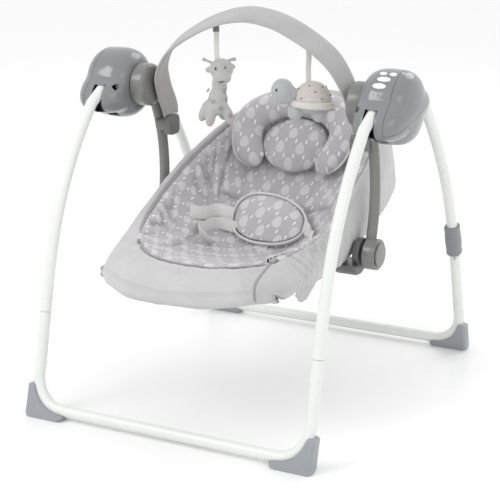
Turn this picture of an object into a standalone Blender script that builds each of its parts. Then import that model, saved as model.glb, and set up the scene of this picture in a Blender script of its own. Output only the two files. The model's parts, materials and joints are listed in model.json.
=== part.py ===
"""Electric baby swing on a folding tube stand.

+Z is up, -Y is the foot end of the seat and +X is the side of the hub with the buttons.
The origin is on the floor, midway between the two floor tubes. Sizes are in metres.
"""

import math

import bmesh
import bpy
from mathutils import Matrix, Vector

# Driving dimensions.
GAP = 0.0004  # between pieces that touch
TUBE_R = 0.011  # white steel tube
BASE_Y = 0.3685  # floor tubes, front and rear of the origin
BASE_Z = 0.0175  # centre height of the floor tubes
FRONT_X = 0.290  # plane of the front legs
REAR_X = 0.303  # plane of the rear legs
BEND_R = 0.062  # bend of the floor tubes into the legs
HUB = Vector((0.297, -0.034, 0.597))  # centre of the right hub; the left one mirrors it
HUB_R = 0.070
SHELL = 0.0025  # hub wall
FACE_X = 0.022  # from the hub's centre to the joint between its housing and its cover
ARM_X = 0.2365
ARM_R = 0.0105
PIVOT = Vector((0.0, 0.011, 0.297))  # recline pivot at the foot of the arms
BAR_PIVOT = Vector((0.0, 0.016, 0.510))  # toy bar pins
SHAFT_R = 0.008
TOY_Y = HUB.y
FOLD_DEG = 55.0  # travel of the front frame inside the hubs' slots

# Leg outlines in the YZ plane, from the floor tube up to the hub.
FRONT_LEG = ((-0.3475, 0.0967), (-0.326, 0.193), (-0.303, 0.290), (-0.270, 0.387),
             (-0.218, 0.483), (-0.158, 0.561), (-0.136, 0.579), (-0.085, 0.607))
REAR_LEG = ((0.347, 0.0967), (0.321, 0.193), (0.290, 0.290), (0.2475, 0.387),
            (0.188, 0.483), (0.124, 0.561), (0.104, 0.5785), (0.020, 0.618))
FRONT_SEAM_Z = 0.196
REAR_SEAM_Z = 0.262
CLAMP_Z = (0.232, 0.296)  # rear clamps, over the seam
ARM_LINE = ((-0.034, 0.597), (0.000, 0.558), (0.020, 0.512), (0.031, 0.465),
            (0.035, 0.415), (0.032, 0.370), (0.023, 0.330), (0.011, 0.297))
BAR_ARCH = ((0.2085, 0.0155, 0.5322), (0.2085, 0.0140, 0.545), (0.2080, -0.010, 0.588),
            (0.2010, -0.028, 0.630), (0.1720, -0.034, 0.676), (0.118, -0.034, 0.7135),
            (0.060, -0.034, 0.7390), (0.0, -0.034, 0.7490))
BAR_LEAN = Vector((0, 0.90, 0.436))  # the padded band's width, foot edge lower, at its top

# Seat stations, foot end to head end: centre (y, z), rim (x, y, z), skirt depth.
SEAT = (
    ((-0.3890, 0.279), (0.146, -0.324, 0.281), 0.012),
    ((-0.354, 0.298), (0.184, -0.274, 0.292), 0.030),
    ((-0.304, 0.309), (0.199, -0.226, 0.307), 0.055),
    ((-0.233, 0.301), (0.203, -0.172, 0.326), 0.072),
    ((-0.143, 0.281), (0.204, -0.112, 0.352), 0.088),
    ((-0.058, 0.266), (0.204, -0.038, 0.384), 0.100),
    ((0.014, 0.270), (0.204, 0.032, 0.411), 0.105),
    ((0.074, 0.314), (0.202, 0.102, 0.435), 0.110),
    ((0.132, 0.372), (0.194, 0.167, 0.462), 0.122),
    ((0.187, 0.432), (0.178, 0.220, 0.487), 0.138),
    ((0.230, 0.492), (0.150, 0.258, 0.514), 0.142),
    ((0.250, 0.520), (0.114, 0.275, 0.529), 0.130),
    ((0.266, 0.536), (0.066, 0.286, 0.539), 0.110),
    ((0.273, 0.541), (0.040, 0.290, 0.543), 0.095),
)
BORDER = 0.034  # width of the padded border, inner edge to outer edge
LINER = 0.012
STRUT_TOP = 0.3710  # recline hub struts, under the frame tube
FRAME_R = 0.007  # seat frame tube, inside the border

SIDES = {"left": -1, "right": 1}


# Building blocks.

def material(name, colour, roughness, metallic=0.0):
    mat = bpy.data.materials.new(name)
    mat.use_nodes = True
    shader = mat.node_tree.nodes["Principled BSDF"]
    shader.inputs["Base Color"].default_value = (*colour, 1.0)
    shader.inputs["Roughness"].default_value = roughness
    shader.inputs["Metallic"].default_value = metallic
    return mat


def body(name, pivot=(0, 0, 0)):
    """An empty on the joint's axis, which the body's pieces hang from."""
    empty = bpy.data.objects.new(name, None)
    empty.location = pivot
    empty.empty_display_size = 0.05
    bpy.context.scene.collection.objects.link(empty)
    return empty


def add(name, bm, mat, parent, sharp_deg=38.0):
    """A named object from a bmesh in world coordinates, hung from its body's empty."""
    bmesh.ops.recalc_face_normals(bm, faces=bm.faces)
    bmesh.ops.translate(bm, verts=bm.verts, vec=-parent.location)
    mesh = bpy.data.meshes.new(name)
    bm.to_mesh(mesh)
    bm.free()
    mesh.materials.append(mat)
    mesh.shade_smooth()
    mesh.set_sharp_from_angle(angle=math.radians(sharp_deg))
    obj = bpy.data.objects.new(name, mesh)
    obj.parent = parent
    bpy.context.scene.collection.objects.link(obj)
    return obj


def boolean(obj, bm, operation="DIFFERENCE"):
    """Joins or cuts obj with a solid given in world coordinates."""
    tool = add(f"{obj.name}_tool_{len(obj.modifiers)}", bm, obj.data.materials[0], obj.parent)
    tool.hide_render = True
    tool.display_type = "WIRE"
    modifier = obj.modifiers.new(operation.title(), "BOOLEAN")
    modifier.operation = operation
    modifier.object = tool


def loft(rings, loop=False):
    """A solid skinned over rings of equal length. A ring of one point closes an end."""
    bm = bmesh.new()
    rows = [[bm.verts.new(p) for p in ring] for ring in rings]
    pairs = list(zip(rows, rows[1:]))
    if loop:
        pairs.append((rows[-1], rows[0]))
    for a, b in pairs:
        count = max(len(a), len(b))
        for i in range(count):
            j = (i + 1) % count
            corners = [a[i % len(a)], a[j % len(a)], b[j % len(b)], b[i % len(b)]]
            bm.faces.new(list(dict.fromkeys(corners)))
    if not loop:
        for row in (rows[0], rows[-1]):
            if len(row) > 2:
                bm.faces.new(row)
    return bm


def smooth_line(points, steps):
    """Catmull-Rom curve through the points, with `steps` pieces to each span."""
    pts = [Vector(p) for p in points]
    ends = [2 * pts[0] - pts[1]] + pts + [2 * pts[-1] - pts[-2]]
    line = []
    for a, b, c, d in zip(ends, ends[1:], ends[2:], ends[3:]):
        for i in range(steps):
            t = i / steps
            line.append(0.5 * (2 * b + (c - a) * t + (2 * a - 5 * b + 4 * c - d) * t * t
                               + (3 * b - a - 3 * c + d) * t ** 3))
    return line + [pts[-1]]


def frames(line, side):
    """(tangent, side, normal) at each point, carried along without twisting."""
    found = []
    for i, point in enumerate(line):
        ahead = line[min(i + 1, len(line) - 1)]
        tangent = (ahead - line[max(i - 1, 0)]).normalized()
        side = (side - side.dot(tangent) * tangent).normalized()
        found.append((tangent, side, tangent.cross(side)))
    return found


def sweep(line, section, side=(1, 0, 0), scale=None):
    """A solid of one section, (across, up) points, carried along a line."""
    rings = []
    for i, (point, (_, across, up)) in enumerate(zip(line, frames(line, Vector(side)))):
        size = scale(i / (len(line) - 1)) if scale else 1.0
        rings.append([point + (across * a + up * b) * size for a, b in section])
    return loft(rings)


def circle(radius, count=12):
    turn = 2 * math.pi / count
    return [(radius * math.cos(i * turn), radius * math.sin(i * turn)) for i in range(count)]


def rounded(width, height, corner, steps=2):
    """Rectangle with round corners, centred, as (across, up) points."""
    points = []
    for quarter in range(4):
        cx = (width / 2 - corner) * (1 if quarter in (0, 3) else -1)
        cy = (height / 2 - corner) * (1 if quarter in (0, 1) else -1)
        for i in range(steps + 1):
            angle = math.pi / 2 * (quarter + i / steps)
            points.append((cx + corner * math.cos(angle), cy + corner * math.sin(angle)))
    return points


def turned(profile, centre, count=32, closed=False):
    """A solid turned about an X axis through centre. The profile is (x, radius) points."""
    rings = []
    for x, radius in profile:
        if radius == 0:
            rings.append([Vector((x, centre.y, centre.z))])
            continue
        rings.append([Vector((x, centre.y + a, centre.z + b)) for a, b in circle(radius, count)])
    return loft(rings, loop=closed)


def rod(x0, x1, radius, centre, count=16):
    return turned(((x0, radius), (x1, radius)), centre, count)


def box(low, high):
    (x0, y0, z0), (x1, y1, z1) = low, high
    ring = ((x0, y0), (x1, y0), (x1, y1), (x0, y1))
    return loft([[Vector((x, y, z)) for x, y in ring] for z in (z0, z1)])


def mirrored(bm, sign):
    """The same solid on the left side where sign is -1."""
    if sign < 0:
        bmesh.ops.transform(bm, matrix=Matrix.Scale(-1, 4, (1, 0, 0)), verts=bm.verts)
        bmesh.ops.reverse_faces(bm, faces=bm.faces)
    return bm


def split(line, height):
    """The parts of an upward line below and above a height, which meet with a gap."""
    below = [p for p in line if p.z < height - GAP]
    above = [p for p in line if p.z > height + GAP]
    step = (above[0] - below[-1]) / (above[0].z - below[-1].z)
    low = below[-1] + step * (height - GAP / 2 - below[-1].z)
    high = low + step * GAP
    return below + [low], [high] + above


# Stand.

def leg_line(outline, x):
    return smooth_line([(x, y, z) for y, z in outline], 3)


def base_line(outline, x, seam):
    """Floor tube with a bend and a short upright at each end, up to the seam."""
    y = math.copysign(BASE_Y, outline[0][0])
    lean = (outline[0][0] - y) / (outline[0][1] - BASE_Z)
    bend = []
    for i in range(7):
        angle = math.radians(90 * i / 6)
        rise = BEND_R * (1 - math.cos(angle))
        bend.append(Vector((x - BEND_R + BEND_R * math.sin(angle), y + lean * rise, BASE_Z + rise)))
    upright, _ = split(leg_line(outline, x), seam)
    half = [Vector((0, y, BASE_Z))] + bend + upright
    return [Vector((-p.x, p.y, p.z)) for p in reversed(half)] + half[1:]


def foot(outline, x, front, sign):
    """Wedge under a bend: flat below, hollowed for the tube above, leaning with the leg."""
    depth, top, lip = 0.029, 0.060, 0.0045
    outer = x + TUBE_R + 0.0045
    centre = (x - BEND_R, BASE_Z + BEND_R)
    low_deg = 14.0
    edge = []
    for i in range(7):
        angle = math.radians(-90 + (90 - low_deg) * i / 6)
        radius = BEND_R + lip
        edge.append((centre[0] + radius * math.cos(angle), centre[1] + radius * math.sin(angle)))
    tip = [(centre[0] - 0.008, 0.009), (centre[0] - 0.004, 0.002), (centre[0] + 0.004, 0.0)]
    heel = [(outer - 0.006, 0.0), (outer - 0.0015, 0.0015), (outer, 0.006), (outer, top)]
    shape = edge[::-1] + tip + heel
    y = math.copysign(BASE_Y, outline[0][0])
    lean = (outline[0][0] - y) / (outline[0][1] - BASE_Z)
    inset = 0.004
    middle = Vector((sum(p[0] for p in shape), sum(p[1] for p in shape))) / len(shape)
    rings = []
    for across, shrink in ((-depth / 2, inset), (-depth / 2 + inset, 0.0),
                           (depth / 2 - inset, 0.0), (depth / 2, inset)):
        ring = []
        for px, pz in shape:
            inward = (middle - Vector((px, pz))).normalized() * shrink
            z = max(pz + inward.y, 0.0) if pz > 0.001 else pz
            ring.append(Vector((px + inward.x, y + across + lean * (z - BASE_Z), z)))
        rings.append(ring)
    return mirrored(loft(rings), sign)


def build_stand(root, fold, mats):
    """Two U-shaped floor tubes, four legs, rear clamps and feet."""
    for name, outline, x, seam, parent in (("front", FRONT_LEG, FRONT_X, FRONT_SEAM_Z, fold),
                                           ("rear", REAR_LEG, REAR_X, REAR_SEAM_Z, root)):
        line = base_line(outline, x, seam)
        add(f"{name}_base_tube", sweep(line, circle(TUBE_R)), mats["tube"], parent)
        for side, sign in SIDES.items():
            _, leg = split(leg_line(outline, x), seam)
            solid = mirrored(sweep(leg, circle(TUBE_R)), sign)
            add(f"{name}_leg_{side}", solid, mats["tube"], parent)
            shoe = add(f"{name}_foot_{side}", foot(outline, x, name == "front", sign),
                       mats["foot"], parent)
            boolean(shoe, sweep(line, circle(TUBE_R + GAP)))
    for side, sign in SIDES.items():
        build_clamp(side, sign, root, mats)


def build_clamp(side, sign, root, mats):
    """Sleeve over the joint of a rear leg, with a set screw below it."""
    line = leg_line(REAR_LEG, REAR_X)
    start, end = split(line, CLAMP_Z[0])[0][-1], split(line, CLAMP_Z[1])[0][-1]
    axis = (end - start).normalized()
    length = (end - start).length
    steps = [start + axis * length * part for part in (0.0, 0.06, 0.5, 0.94, 1.0)]
    grow = (0.93, 1.0, 1.06, 1.0, 0.9)
    rings = []
    for (point, (_, across, up)), size in zip(zip(steps, frames(steps, Vector((1, 0, 0)))), grow):
        rings.append([point + (across * a + up * b) * size for a, b in rounded(0.031, 0.033, 0.011)])
    sleeve = add(f"rear_clamp_{side}", mirrored(loft(rings), sign), mats["grey"], root)
    boolean(sleeve, mirrored(sweep(line, circle(TUBE_R + GAP)), sign))
    seat = start - axis * 0.007
    out = Vector((0.35, -0.94, 0.0))
    out = (out - out.dot(axis) * axis).normalized()
    base = seat + out * (TUBE_R + GAP)
    head = [base, base + out * 0.0012, base + out * 0.0022]
    sizes = (0.0032, 0.0032, 0.0020)
    rings = []
    for (point, (_, across, up)), radius in zip(zip(head, frames(head, Vector((0, 0, 1)))), sizes):
        rings.append([point + across * a + up * b for a, b in circle(radius, 10)])
    add(f"clamp_screw_{side}", mirrored(loft(rings), sign), mats["steel"], root)


# Hubs.

def bump(angle_deg, centre_deg, half_deg):
    off = abs((angle_deg - centre_deg + 180) % 360 - 180)
    return math.cos(math.pi / 2 * off / half_deg) ** 2 if off < half_deg else 0.0


def hub_outline(angle_deg):
    """Radius of the hub at an angle from +Y, with a nose over each leg's entry."""
    front = 0.034 * bump(angle_deg, 197.0, 38.0)
    rear = 0.026 * bump(angle_deg, 0.0, 34.0)
    return HUB_R + front + rear


def hub_ring(x, scale, inset):
    ring = []
    for i in range(40):
        angle = 9.0 * i
        radius = max(hub_outline(angle) * scale - inset, 0.004)
        turn = math.radians(angle)
        ring.append(Vector((HUB.x + x, HUB.y + radius * math.cos(turn),
                            HUB.z + radius * math.sin(turn))))
    return ring


HOUSING = ((-0.048, 0.640), (-0.0465, 0.720), (-0.040, 0.850), (-0.030, 0.945),
           (-0.016, 0.995), (0.004, 1.0), (FACE_X - GAP / 2, 0.985))
COVER = ((FACE_X + GAP / 2, 0.985), (0.033, 0.925), (0.043, 0.790), (0.0495, 0.540))
COVER_TIP = 0.0535


def housing_solid():
    """Cup of the hub nearest the seat, open at the cover and bored for the swing shaft."""
    outer = [hub_ring(x, scale, 0) for x, scale in HOUSING]
    inner = [hub_ring(x, scale, SHELL) for x, scale in reversed(HOUSING[3:])]
    floor = HOUSING[0][0] + SHELL
    inner.append(hub_ring(HOUSING[2][0] + SHELL, 0.80, SHELL))
    inner.append(hub_ring(floor, 0.640, SHELL))
    bore = SHAFT_R + 0.0042
    for x in (floor, HOUSING[0][0]):
        inner.append([Vector((HUB.x + x, HUB.y + a, HUB.z + b)) for a, b in circle(bore, 40)])
    return loft(outer + inner, loop=True)


def cover_solid():
    """Domed outer cover of a hub, hollow."""
    outer = [hub_ring(x, scale, 0) for x, scale in COVER]
    tip = [Vector((HUB.x + COVER_TIP, HUB.y, HUB.z))]
    inner_tip = [Vector((HUB.x + COVER_TIP - SHELL, HUB.y, HUB.z))]
    inner = [hub_ring(x - SHELL * (i > 0), scale, SHELL) for i, (x, scale) in enumerate(COVER)]
    bm = loft(outer + [tip])
    bm.faces.ensure_lookup_table()
    bmesh.ops.delete(bm, geom=[f for f in bm.faces if len(f.verts) > 4], context="FACES")
    rows = [[bm.verts.new(p) for p in ring] for ring in inner + [inner_tip]]
    for a, b in zip(rows, rows[1:]):
        for i in range(len(a)):
            j = (i + 1) % len(a)
            corners = [a[i], a[j], b[j % len(b)], b[i % len(b)]]
            bm.faces.new(list(dict.fromkeys(corners)))
    bm.verts.ensure_lookup_table()
    rim = bm.verts[:len(rows[0])]
    for i in range(len(rows[0])):
        j = (i + 1) % len(rows[0])
        bm.faces.new([rim[i], rim[j], rows[0][j], rows[0][i]])
    return bm


def slot_cutter():
    """Room that a front leg sweeps as it folds: its own width, from rest to FOLD_DEG."""
    (y0, z0), (y1, z1) = FRONT_LEG[-2], FRONT_LEG[-1]
    inner = Vector((y1 - HUB.y, z1 - HUB.z))
    along = (Vector((y0, z0)) - Vector((y1, z1))).normalized()
    upper = Vector((along.y, -along.x))
    if upper.y < 0:
        upper = -upper
    room = TUBE_R + 0.0015
    fold = math.radians(FOLD_DEG)

    def turned_by(point, angle):
        return Vector((point.x * math.cos(angle) - point.y * math.sin(angle),
                       point.x * math.sin(angle) + point.y * math.cos(angle)))

    far = 0.085
    top = [inner + upper * room, inner + upper * room + along * far]
    bottom = [inner - upper * room + along * far, inner - upper * room]
    arc_out = [turned_by(top[1], fold * i / 6) for i in range(7)]
    arc_in = [turned_by(bottom[1], fold * i / 4) for i in range(4, -1, -1)]
    outline = [top[0]] + arc_out + [turned_by(bottom[0], fold)] + arc_in
    rings = [[Vector((x, HUB.y + p.x, HUB.z + p.y)) for p in outline]
             for x in (FRONT_X - room, FRONT_X + room)]
    return loft(rings)


def oval_plug(centre, normal, across, width, height, low, high, count=20):
    """Oval pin along a normal, from `low` to `high` off its centre, with a crowned end."""
    up = normal.cross(across)
    rings = []
    for depth, size in ((low, 1.0), (high - 0.0008, 1.0), (high, 0.82)):
        rings.append([centre + normal * depth + (across * a * width / 2 + up * b * height / 2) * size
                      for a, b in circle(1.0, count)])
    return loft(rings)


# Control buttons on the rim of the right hub: angle above the front, x, width, height.
BUTTONS = {
    "power_button": (41.0, 0.2915, 0.0265, 0.0115),
    "speed_button": (54.0, 0.2955, 0.0265, 0.0115),
    "music_button": (67.0, 0.2890, 0.0145, 0.0095),
    "volume_button": (67.0, 0.3080, 0.0145, 0.0095),
}
BUTTON_TRAVEL = 0.0015
FOLD_BUTTON = Vector((0.2600, HUB.y, HUB.z + 0.003))
FOLD_BUTTON_R = 0.0055


def button_place(angle_deg, x):
    turn = math.radians(angle_deg)
    normal = Vector((0, -math.cos(turn), math.sin(turn)))
    return Vector((x, HUB.y, HUB.z)) + normal * HUB_R, normal


def build_hub(side, sign, root, mats):
    housing = add(f"hub_housing_{side}", mirrored(housing_solid(), sign), mats["hub"], root)
    boolean(housing, mirrored(slot_cutter(), sign))
    boolean(housing, mirrored(sweep(leg_line(REAR_LEG, REAR_X), circle(TUBE_R + GAP)), sign))
    hole = oval_plug(FOLD_BUTTON, Vector((0, -1, 0)), Vector((1, 0, 0)),
                     2 * (FOLD_BUTTON_R + GAP), 2 * (FOLD_BUTTON_R + GAP), 0.040, 0.080, 12)
    boolean(housing, mirrored(hole, sign))
    cover = add(f"hub_cover_{side}", mirrored(cover_solid(), sign), mats["hub"], root)
    bearing = turned(((HUB.x - 0.0455, SHAFT_R + 0.0003), (HUB.x - 0.0455, SHAFT_R + 0.0038),
                      (HUB.x - 0.030, SHAFT_R + 0.0038), (HUB.x - 0.030, SHAFT_R + 0.0003)),
                     HUB, 20, closed=True)
    add(f"shaft_bearing_{side}", mirrored(bearing, sign), mats["white_plastic"], root)
    axle = rod(FRONT_X - 0.0095, FRONT_X + 0.0165, 0.009, HUB, 20)
    add(f"fold_axle_{side}", mirrored(axle, sign), mats["steel"], root)
    return housing, cover


def battery_cut():
    """Half space below the line where the battery cover meets the rest of the cover."""
    size = 0.12
    tilt = math.radians(17.0)
    middle = Vector((HUB.x + 0.045, HUB.y, HUB.z - 0.010))
    along = Vector((0, math.cos(tilt), math.sin(tilt)))
    down = Vector((0, math.sin(tilt), -math.cos(tilt)))
    rings = []
    for depth in (0.0, 2 * size):
        rings.append([middle + down * depth + Vector((sx * 0.03, 0, 0)) + along * sy * size
                      for sx, sy in ((-1, -1), (1, -1), (1, 1), (-1, 1))])
    return loft(rings), down


def build_control_side(housing, cover, root, mats):
    """What only the right hub has: battery cover, cells, board, speaker, coil and inlet."""
    lower, down = battery_cut()
    door = add("battery_cover", cover_solid(), mats["hub"], root)
    boolean(cover, lower)
    upper, _ = battery_cut()
    bmesh.ops.translate(upper, verts=upper.verts, vec=down * GAP)
    boolean(door, upper, "INTERSECT")
    spot = Vector((HUB.x, HUB.y - 0.034, HUB.z - 0.030))
    hole = rod(HUB.x + 0.02, HUB.x + 0.06, 0.0021 + GAP, spot, 12)
    boolean(door, hole)
    add("battery_screw", turned(((HUB.x + 0.0335, 0.0021), (HUB.x + 0.0455, 0.0021)), spot, 12),
        mats["steel"], root)
    cell_r, cell_length = 0.0131, 0.0500
    for i in range(2):
        spot = HUB + Vector((0.0245, 0.004, -0.0095 - 0.0268 * i))
        ends = [spot + Vector((0, end * cell_length / 2, 0)) for end in (-1, 1)]
        add(f"battery_{i + 1}", sweep(ends, circle(cell_r, 16)), mats["cell"], root)
    add("control_board", box((HUB.x + 0.0150, HUB.y - 0.036, HUB.z + 0.012),
                             (HUB.x + 0.0166, HUB.y + 0.036, HUB.z + 0.050)), mats["board"], root)
    add("speaker", turned(((HUB.x + 0.0235, 0.010), (HUB.x + 0.029, 0.016), (HUB.x + 0.0335, 0.016)),
                          HUB + Vector((0, 0.016, 0.030)), 20), mats["dark"], root)
    add("drive_coil", turned(((HUB.x - 0.0385, 0.004), (HUB.x - 0.0385, 0.0105),
                              (HUB.x - 0.0285, 0.0105), (HUB.x - 0.0285, 0.004)),
                             HUB - Vector((0, 0, 0.036)), 20, closed=True), mats["copper"], root)
    place = Vector((HUB.x - 0.012, HUB.y + 0.035, HUB.z - 0.062))
    away = Vector((0, 0.5, -0.866))
    across = Vector((1, 0, 0))
    boolean(housing, oval_plug(place, away, across, 0.0122, 0.0122, -0.02, 0.02, 14))
    inlet = add("power_inlet", oval_plug(place, away, across, 0.0114, 0.0114, -0.012, 0.0015, 14),
                mats["dark"], root)
    boolean(inlet, oval_plug(place, away, across, 0.0055, 0.0055, -0.009, 0.01, 10))


def build_buttons(housing, root, mats):
    for name, (angle, x, width, height) in BUTTONS.items():
        place, normal = button_place(angle, x)
        across = Vector((1, 0, 0))
        hole = oval_plug(place, normal, across, width + 2 * GAP, height + 2 * GAP, -0.010, 0.010)
        boolean(housing, hole)
        solid = oval_plug(place, normal, across, width, height, -0.0045, 0.0018)
        add(name, solid, mats["button"], body(f"{name}_slide", place))
    for side, sign in SIDES.items():
        start = Vector((sign * FOLD_BUTTON.x, FOLD_BUTTON.y - 0.060, FOLD_BUTTON.z))
        solid = oval_plug(FOLD_BUTTON, Vector((0, -1, 0)), Vector((1, 0, 0)),
                          2 * FOLD_BUTTON_R, 2 * FOLD_BUTTON_R, 0.046, 0.0665, 12)
        add(f"fold_button_{side}", mirrored(solid, sign), mats["grey"],
            body(f"fold_button_{side}_slide", start))


def build_fold_pivots(fold, mats):
    """Ring on the fold axle with a socket that holds the end of the front leg."""
    (y0, z0), (y1, z1) = FRONT_LEG[-2], FRONT_LEG[-1]
    end = Vector((FRONT_X, y1, z1))
    along = (end - Vector((FRONT_X, y0, z0))).normalized()
    for side, sign in SIDES.items():
        ring = turned(((FRONT_X - 0.008, 0.0094), (FRONT_X - 0.008, 0.0185),
                       (FRONT_X + 0.008, 0.0185), (FRONT_X + 0.008, 0.0094)), HUB, 24, closed=True)
        pivot = add(f"fold_pivot_{side}", mirrored(ring, sign), mats["steel"], fold)
        root_point = Vector((FRONT_X, HUB.y - 0.0135, HUB.z + 0.003))
        neck = [end + along * GAP, end + along * 0.012, root_point]
        link = sweep(neck, rounded(0.014, 0.014, 0.004))
        boolean(pivot, mirrored(link, sign), "UNION")


# Swing: arms, drums, shafts and drive lever.

def build_swing(swing, mats):
    boss = ((0.2170, 0.0), (0.2170, 0.0330), (0.2190, 0.0385), (0.2225, 0.0415),
            (0.2260, 0.0425), (0.2470, 0.0425), (0.2484, 0.0410), (0.2484, 0.0))
    disc = ((0.2330, 0.0290), (0.2345, 0.0305), (0.2565, 0.0305), (0.2585, 0.0285))
    line = smooth_line([(ARM_X, y, z) for y, z in ARM_LINE], 3)
    for side, sign in SIDES.items():
        arm = add(f"swing_arm_{side}", mirrored(sweep(line, circle(ARM_R, 14)), sign),
                  mats["arm"], swing)
        boolean(arm, mirrored(turned(boss, HUB, 36), sign), "UNION")
        boolean(arm, mirrored(turned(disc, PIVOT, 32), sign), "UNION")
        lug = sweep([BAR_PIVOT + Vector((x, 0, 0)) for x in (0.2140, 0.2360)],
                    rounded(0.028, 0.024, 0.006), side=(0, 1, 0))
        boolean(arm, mirrored(lug, sign), "UNION")
        boolean(arm, mirrored(rod(0.2310, 0.2600, SHAFT_R + 0.0003, HUB, 20), sign))
        boolean(arm, mirrored(rod(0.2200, 0.2560, 0.0078, PIVOT, 20), sign))
        boolean(arm, mirrored(rod(0.2000, 0.2300, 0.0043, BAR_PIVOT, 12), sign))
        shaft = rod(0.2315, 0.2790, SHAFT_R, HUB, 20)
        add(f"swing_shaft_{side}", mirrored(shaft, sign), mats["steel"], swing)
        cap = turned(((0.2589, 0.0), (0.2589, 0.0240), (0.2610, 0.0240), (0.2625, 0.0222),
                      (0.2625, 0.0)), PIVOT, 32)
        add(f"arm_cap_{side}", mirrored(cap, sign), mats["arm"], swing)
    lever = add("drive_lever", turned(((0.2712, 0.0083), (0.2712, 0.0130), (0.2765, 0.0130),
                                       (0.2765, 0.0083)), HUB, 24, closed=True),
                mats["white_plastic"], swing)
    blade = box((0.2712, HUB.y - 0.0060, HUB.z - 0.0500), (0.2765, HUB.y + 0.0060, HUB.z - 0.0105))
    boolean(lever, blade, "UNION")


# Toy bar and toys.

def build_toy_bar(bar, mats):
    for side, sign in SIDES.items():
        spots = [Vector((x, BAR_PIVOT.y - 0.001, BAR_PIVOT.z)) for x in (0.1990, 0.2132)]
        clip = add(f"toy_bar_clip_{side}",
                   mirrored(sweep(spots, rounded(0.040, 0.040, 0.009), side=(0, 1, 0)), sign),
                   mats["clip"], bar)
        boolean(clip, mirrored(rod(0.2050, 0.2280, 0.0040, BAR_PIVOT, 12), sign), "UNION")
    half = [Vector(p) for p in BAR_ARCH]
    whole = half + [Vector((-p.x, p.y, p.z)) for p in reversed(half[:-1])]
    line = smooth_line(whole, 3)
    rings = []
    for i, point in enumerate(line):
        along = (line[min(i + 1, len(line) - 1)] - line[max(i - 1, 0)]).normalized()
        across = (BAR_LEAN - along * BAR_LEAN.dot(along)).normalized()
        if i in (0, len(line) - 1):
            across = Vector((0, 1, 0))
        up = along.cross(across)
        rings.append([point + across * a + up * b for a, b in rounded(0.055, 0.007, 0.003)])
    add("toy_bar", loft(rings), mats["velour"], bar)


def blob(centre, size, lean_deg=0.0, rows=6, count=12):
    """Egg-shaped solid, leaning about Y."""
    turn = Matrix.Rotation(math.radians(lean_deg), 3, "Y")
    rings = []
    for i in range(rows + 1):
        angle = math.pi * i / rows
        if i in (0, rows):
            rings.append([Vector(centre) + turn @ Vector((0, 0, size[2] * math.cos(angle)))])
            continue
        rings.append([Vector(centre) + turn @ Vector((a * size[0] * math.sin(angle),
                                                      b * size[1] * math.sin(angle),
                                                      size[2] * math.cos(angle)))
                      for a, b in circle(1.0, count)])
    return loft(rings)


def ribbon(top, bottom, width=0.009, thick=0.0012):
    return sweep([Vector(top), Vector(bottom)], rounded(width, thick, 0.0004, 1), side=(1, 0, 0))


GIRAFFE = Vector((-0.074, TOY_Y, 0.7270))  # where its ribbon leaves the bar
TURTLE = Vector((0.124, TOY_Y, 0.6980))


def build_toys(giraffe, turtle, mats):
    """Two plush toys, each with its hanging ribbon."""
    g = GIRAFFE
    toy = add("giraffe_toy", ribbon(g, (g.x, g.y, 0.640)), mats["plush"], giraffe)
    parts = [blob((g.x, g.y - 0.003, 0.634), (0.019, 0.021, 0.023), 0),
             blob((g.x + 0.004, g.y - 0.004, 0.600), (0.014, 0.014, 0.030), 0),
             blob((g.x, g.y - 0.004, 0.570), (0.021, 0.018, 0.027), 0)]
    for sx in (-1, 1):
        parts.append(blob((g.x + sx * 0.017, g.y - 0.006, 0.551), (0.010, 0.011, 0.026), -sx * 22))
        parts.append(blob((g.x + sx * 0.018, g.y, 0.646), (0.011, 0.005, 0.006), sx * 15))
    for part in parts:
        boolean(toy, part, "UNION")
    t = TURTLE
    toy = add("turtle_toy", ribbon(t, (t.x, t.y, 0.620)), mats["plush"], turtle)
    parts = [blob((t.x + 0.006, t.y, 0.604), (0.038, 0.032, 0.028), 0, 8, 16),
             blob((t.x - 0.044, t.y - 0.014, 0.611), (0.020, 0.018, 0.022), 0)]
    for sx in (-1, 1):
        parts.append(blob((t.x + 0.004 + sx * 0.022, t.y - 0.010, 0.577), (0.013, 0.012, 0.017), 0))
    for part in parts:
        boolean(toy, part, "UNION")


# Seat.

def seat_axes(index):
    """Unit vector along the rim and the one pointing down from it, in the YZ plane."""
    before = SEAT[max(index - 1, 0)][1]
    after = SEAT[min(index + 1, len(SEAT) - 1)][1]
    along = Vector((0, after[1] - before[1], after[2] - before[2])).normalized()
    return along, Vector((0, along.z, -along.y))


def seat_station(index):
    """Right half of a section: the upper chain and the lower chain, centre to hem."""
    (cy, cz), (w, ry, rz), depth = SEAT[index]
    centre, rim = Vector((0, cy, cz)), Vector((0, ry, rz))
    _, down = seat_axes(index)
    inner = w - BORDER
    groove = min(depth * 0.5, 0.030)
    upper, lower = [], []
    for v in (0.0, 0.38, 0.68, 0.88, 1.0):
        upper.append(centre.lerp(rim, v ** 2.6) + Vector((v * inner, 0, 0)))
    for v in (0.0, 0.38, 0.68, 0.88):
        lower.append(centre.lerp(rim, v ** 2.6) + Vector((v * (inner - 0.002), 0, 0)) + down * LINER)
    lower.append(rim + Vector((inner + 0.004, 0, 0)) + down * (LINER + 0.006))
    upper.append(rim + Vector((w - 0.020, 0, 0)) - down * 0.0065)
    upper.append(rim + Vector((w - 0.004, 0, 0)) - down * 0.002)
    upper.append(rim + Vector((w, 0, 0)) + down * groove)
    upper.append(rim + Vector((w - 0.006, 0, 0)) + down * depth)
    lower.append(rim + Vector((w - 0.024, 0, 0)) + down * 0.0035)
    lower.append(rim + Vector((w - 0.009, 0, 0)) + down * 0.0035)
    lower.append(rim + Vector((w - 0.0055, 0, 0)) + down * groove)
    lower.append(rim + Vector((w - 0.0105, 0, 0)) + down * depth)
    return upper, lower


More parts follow.
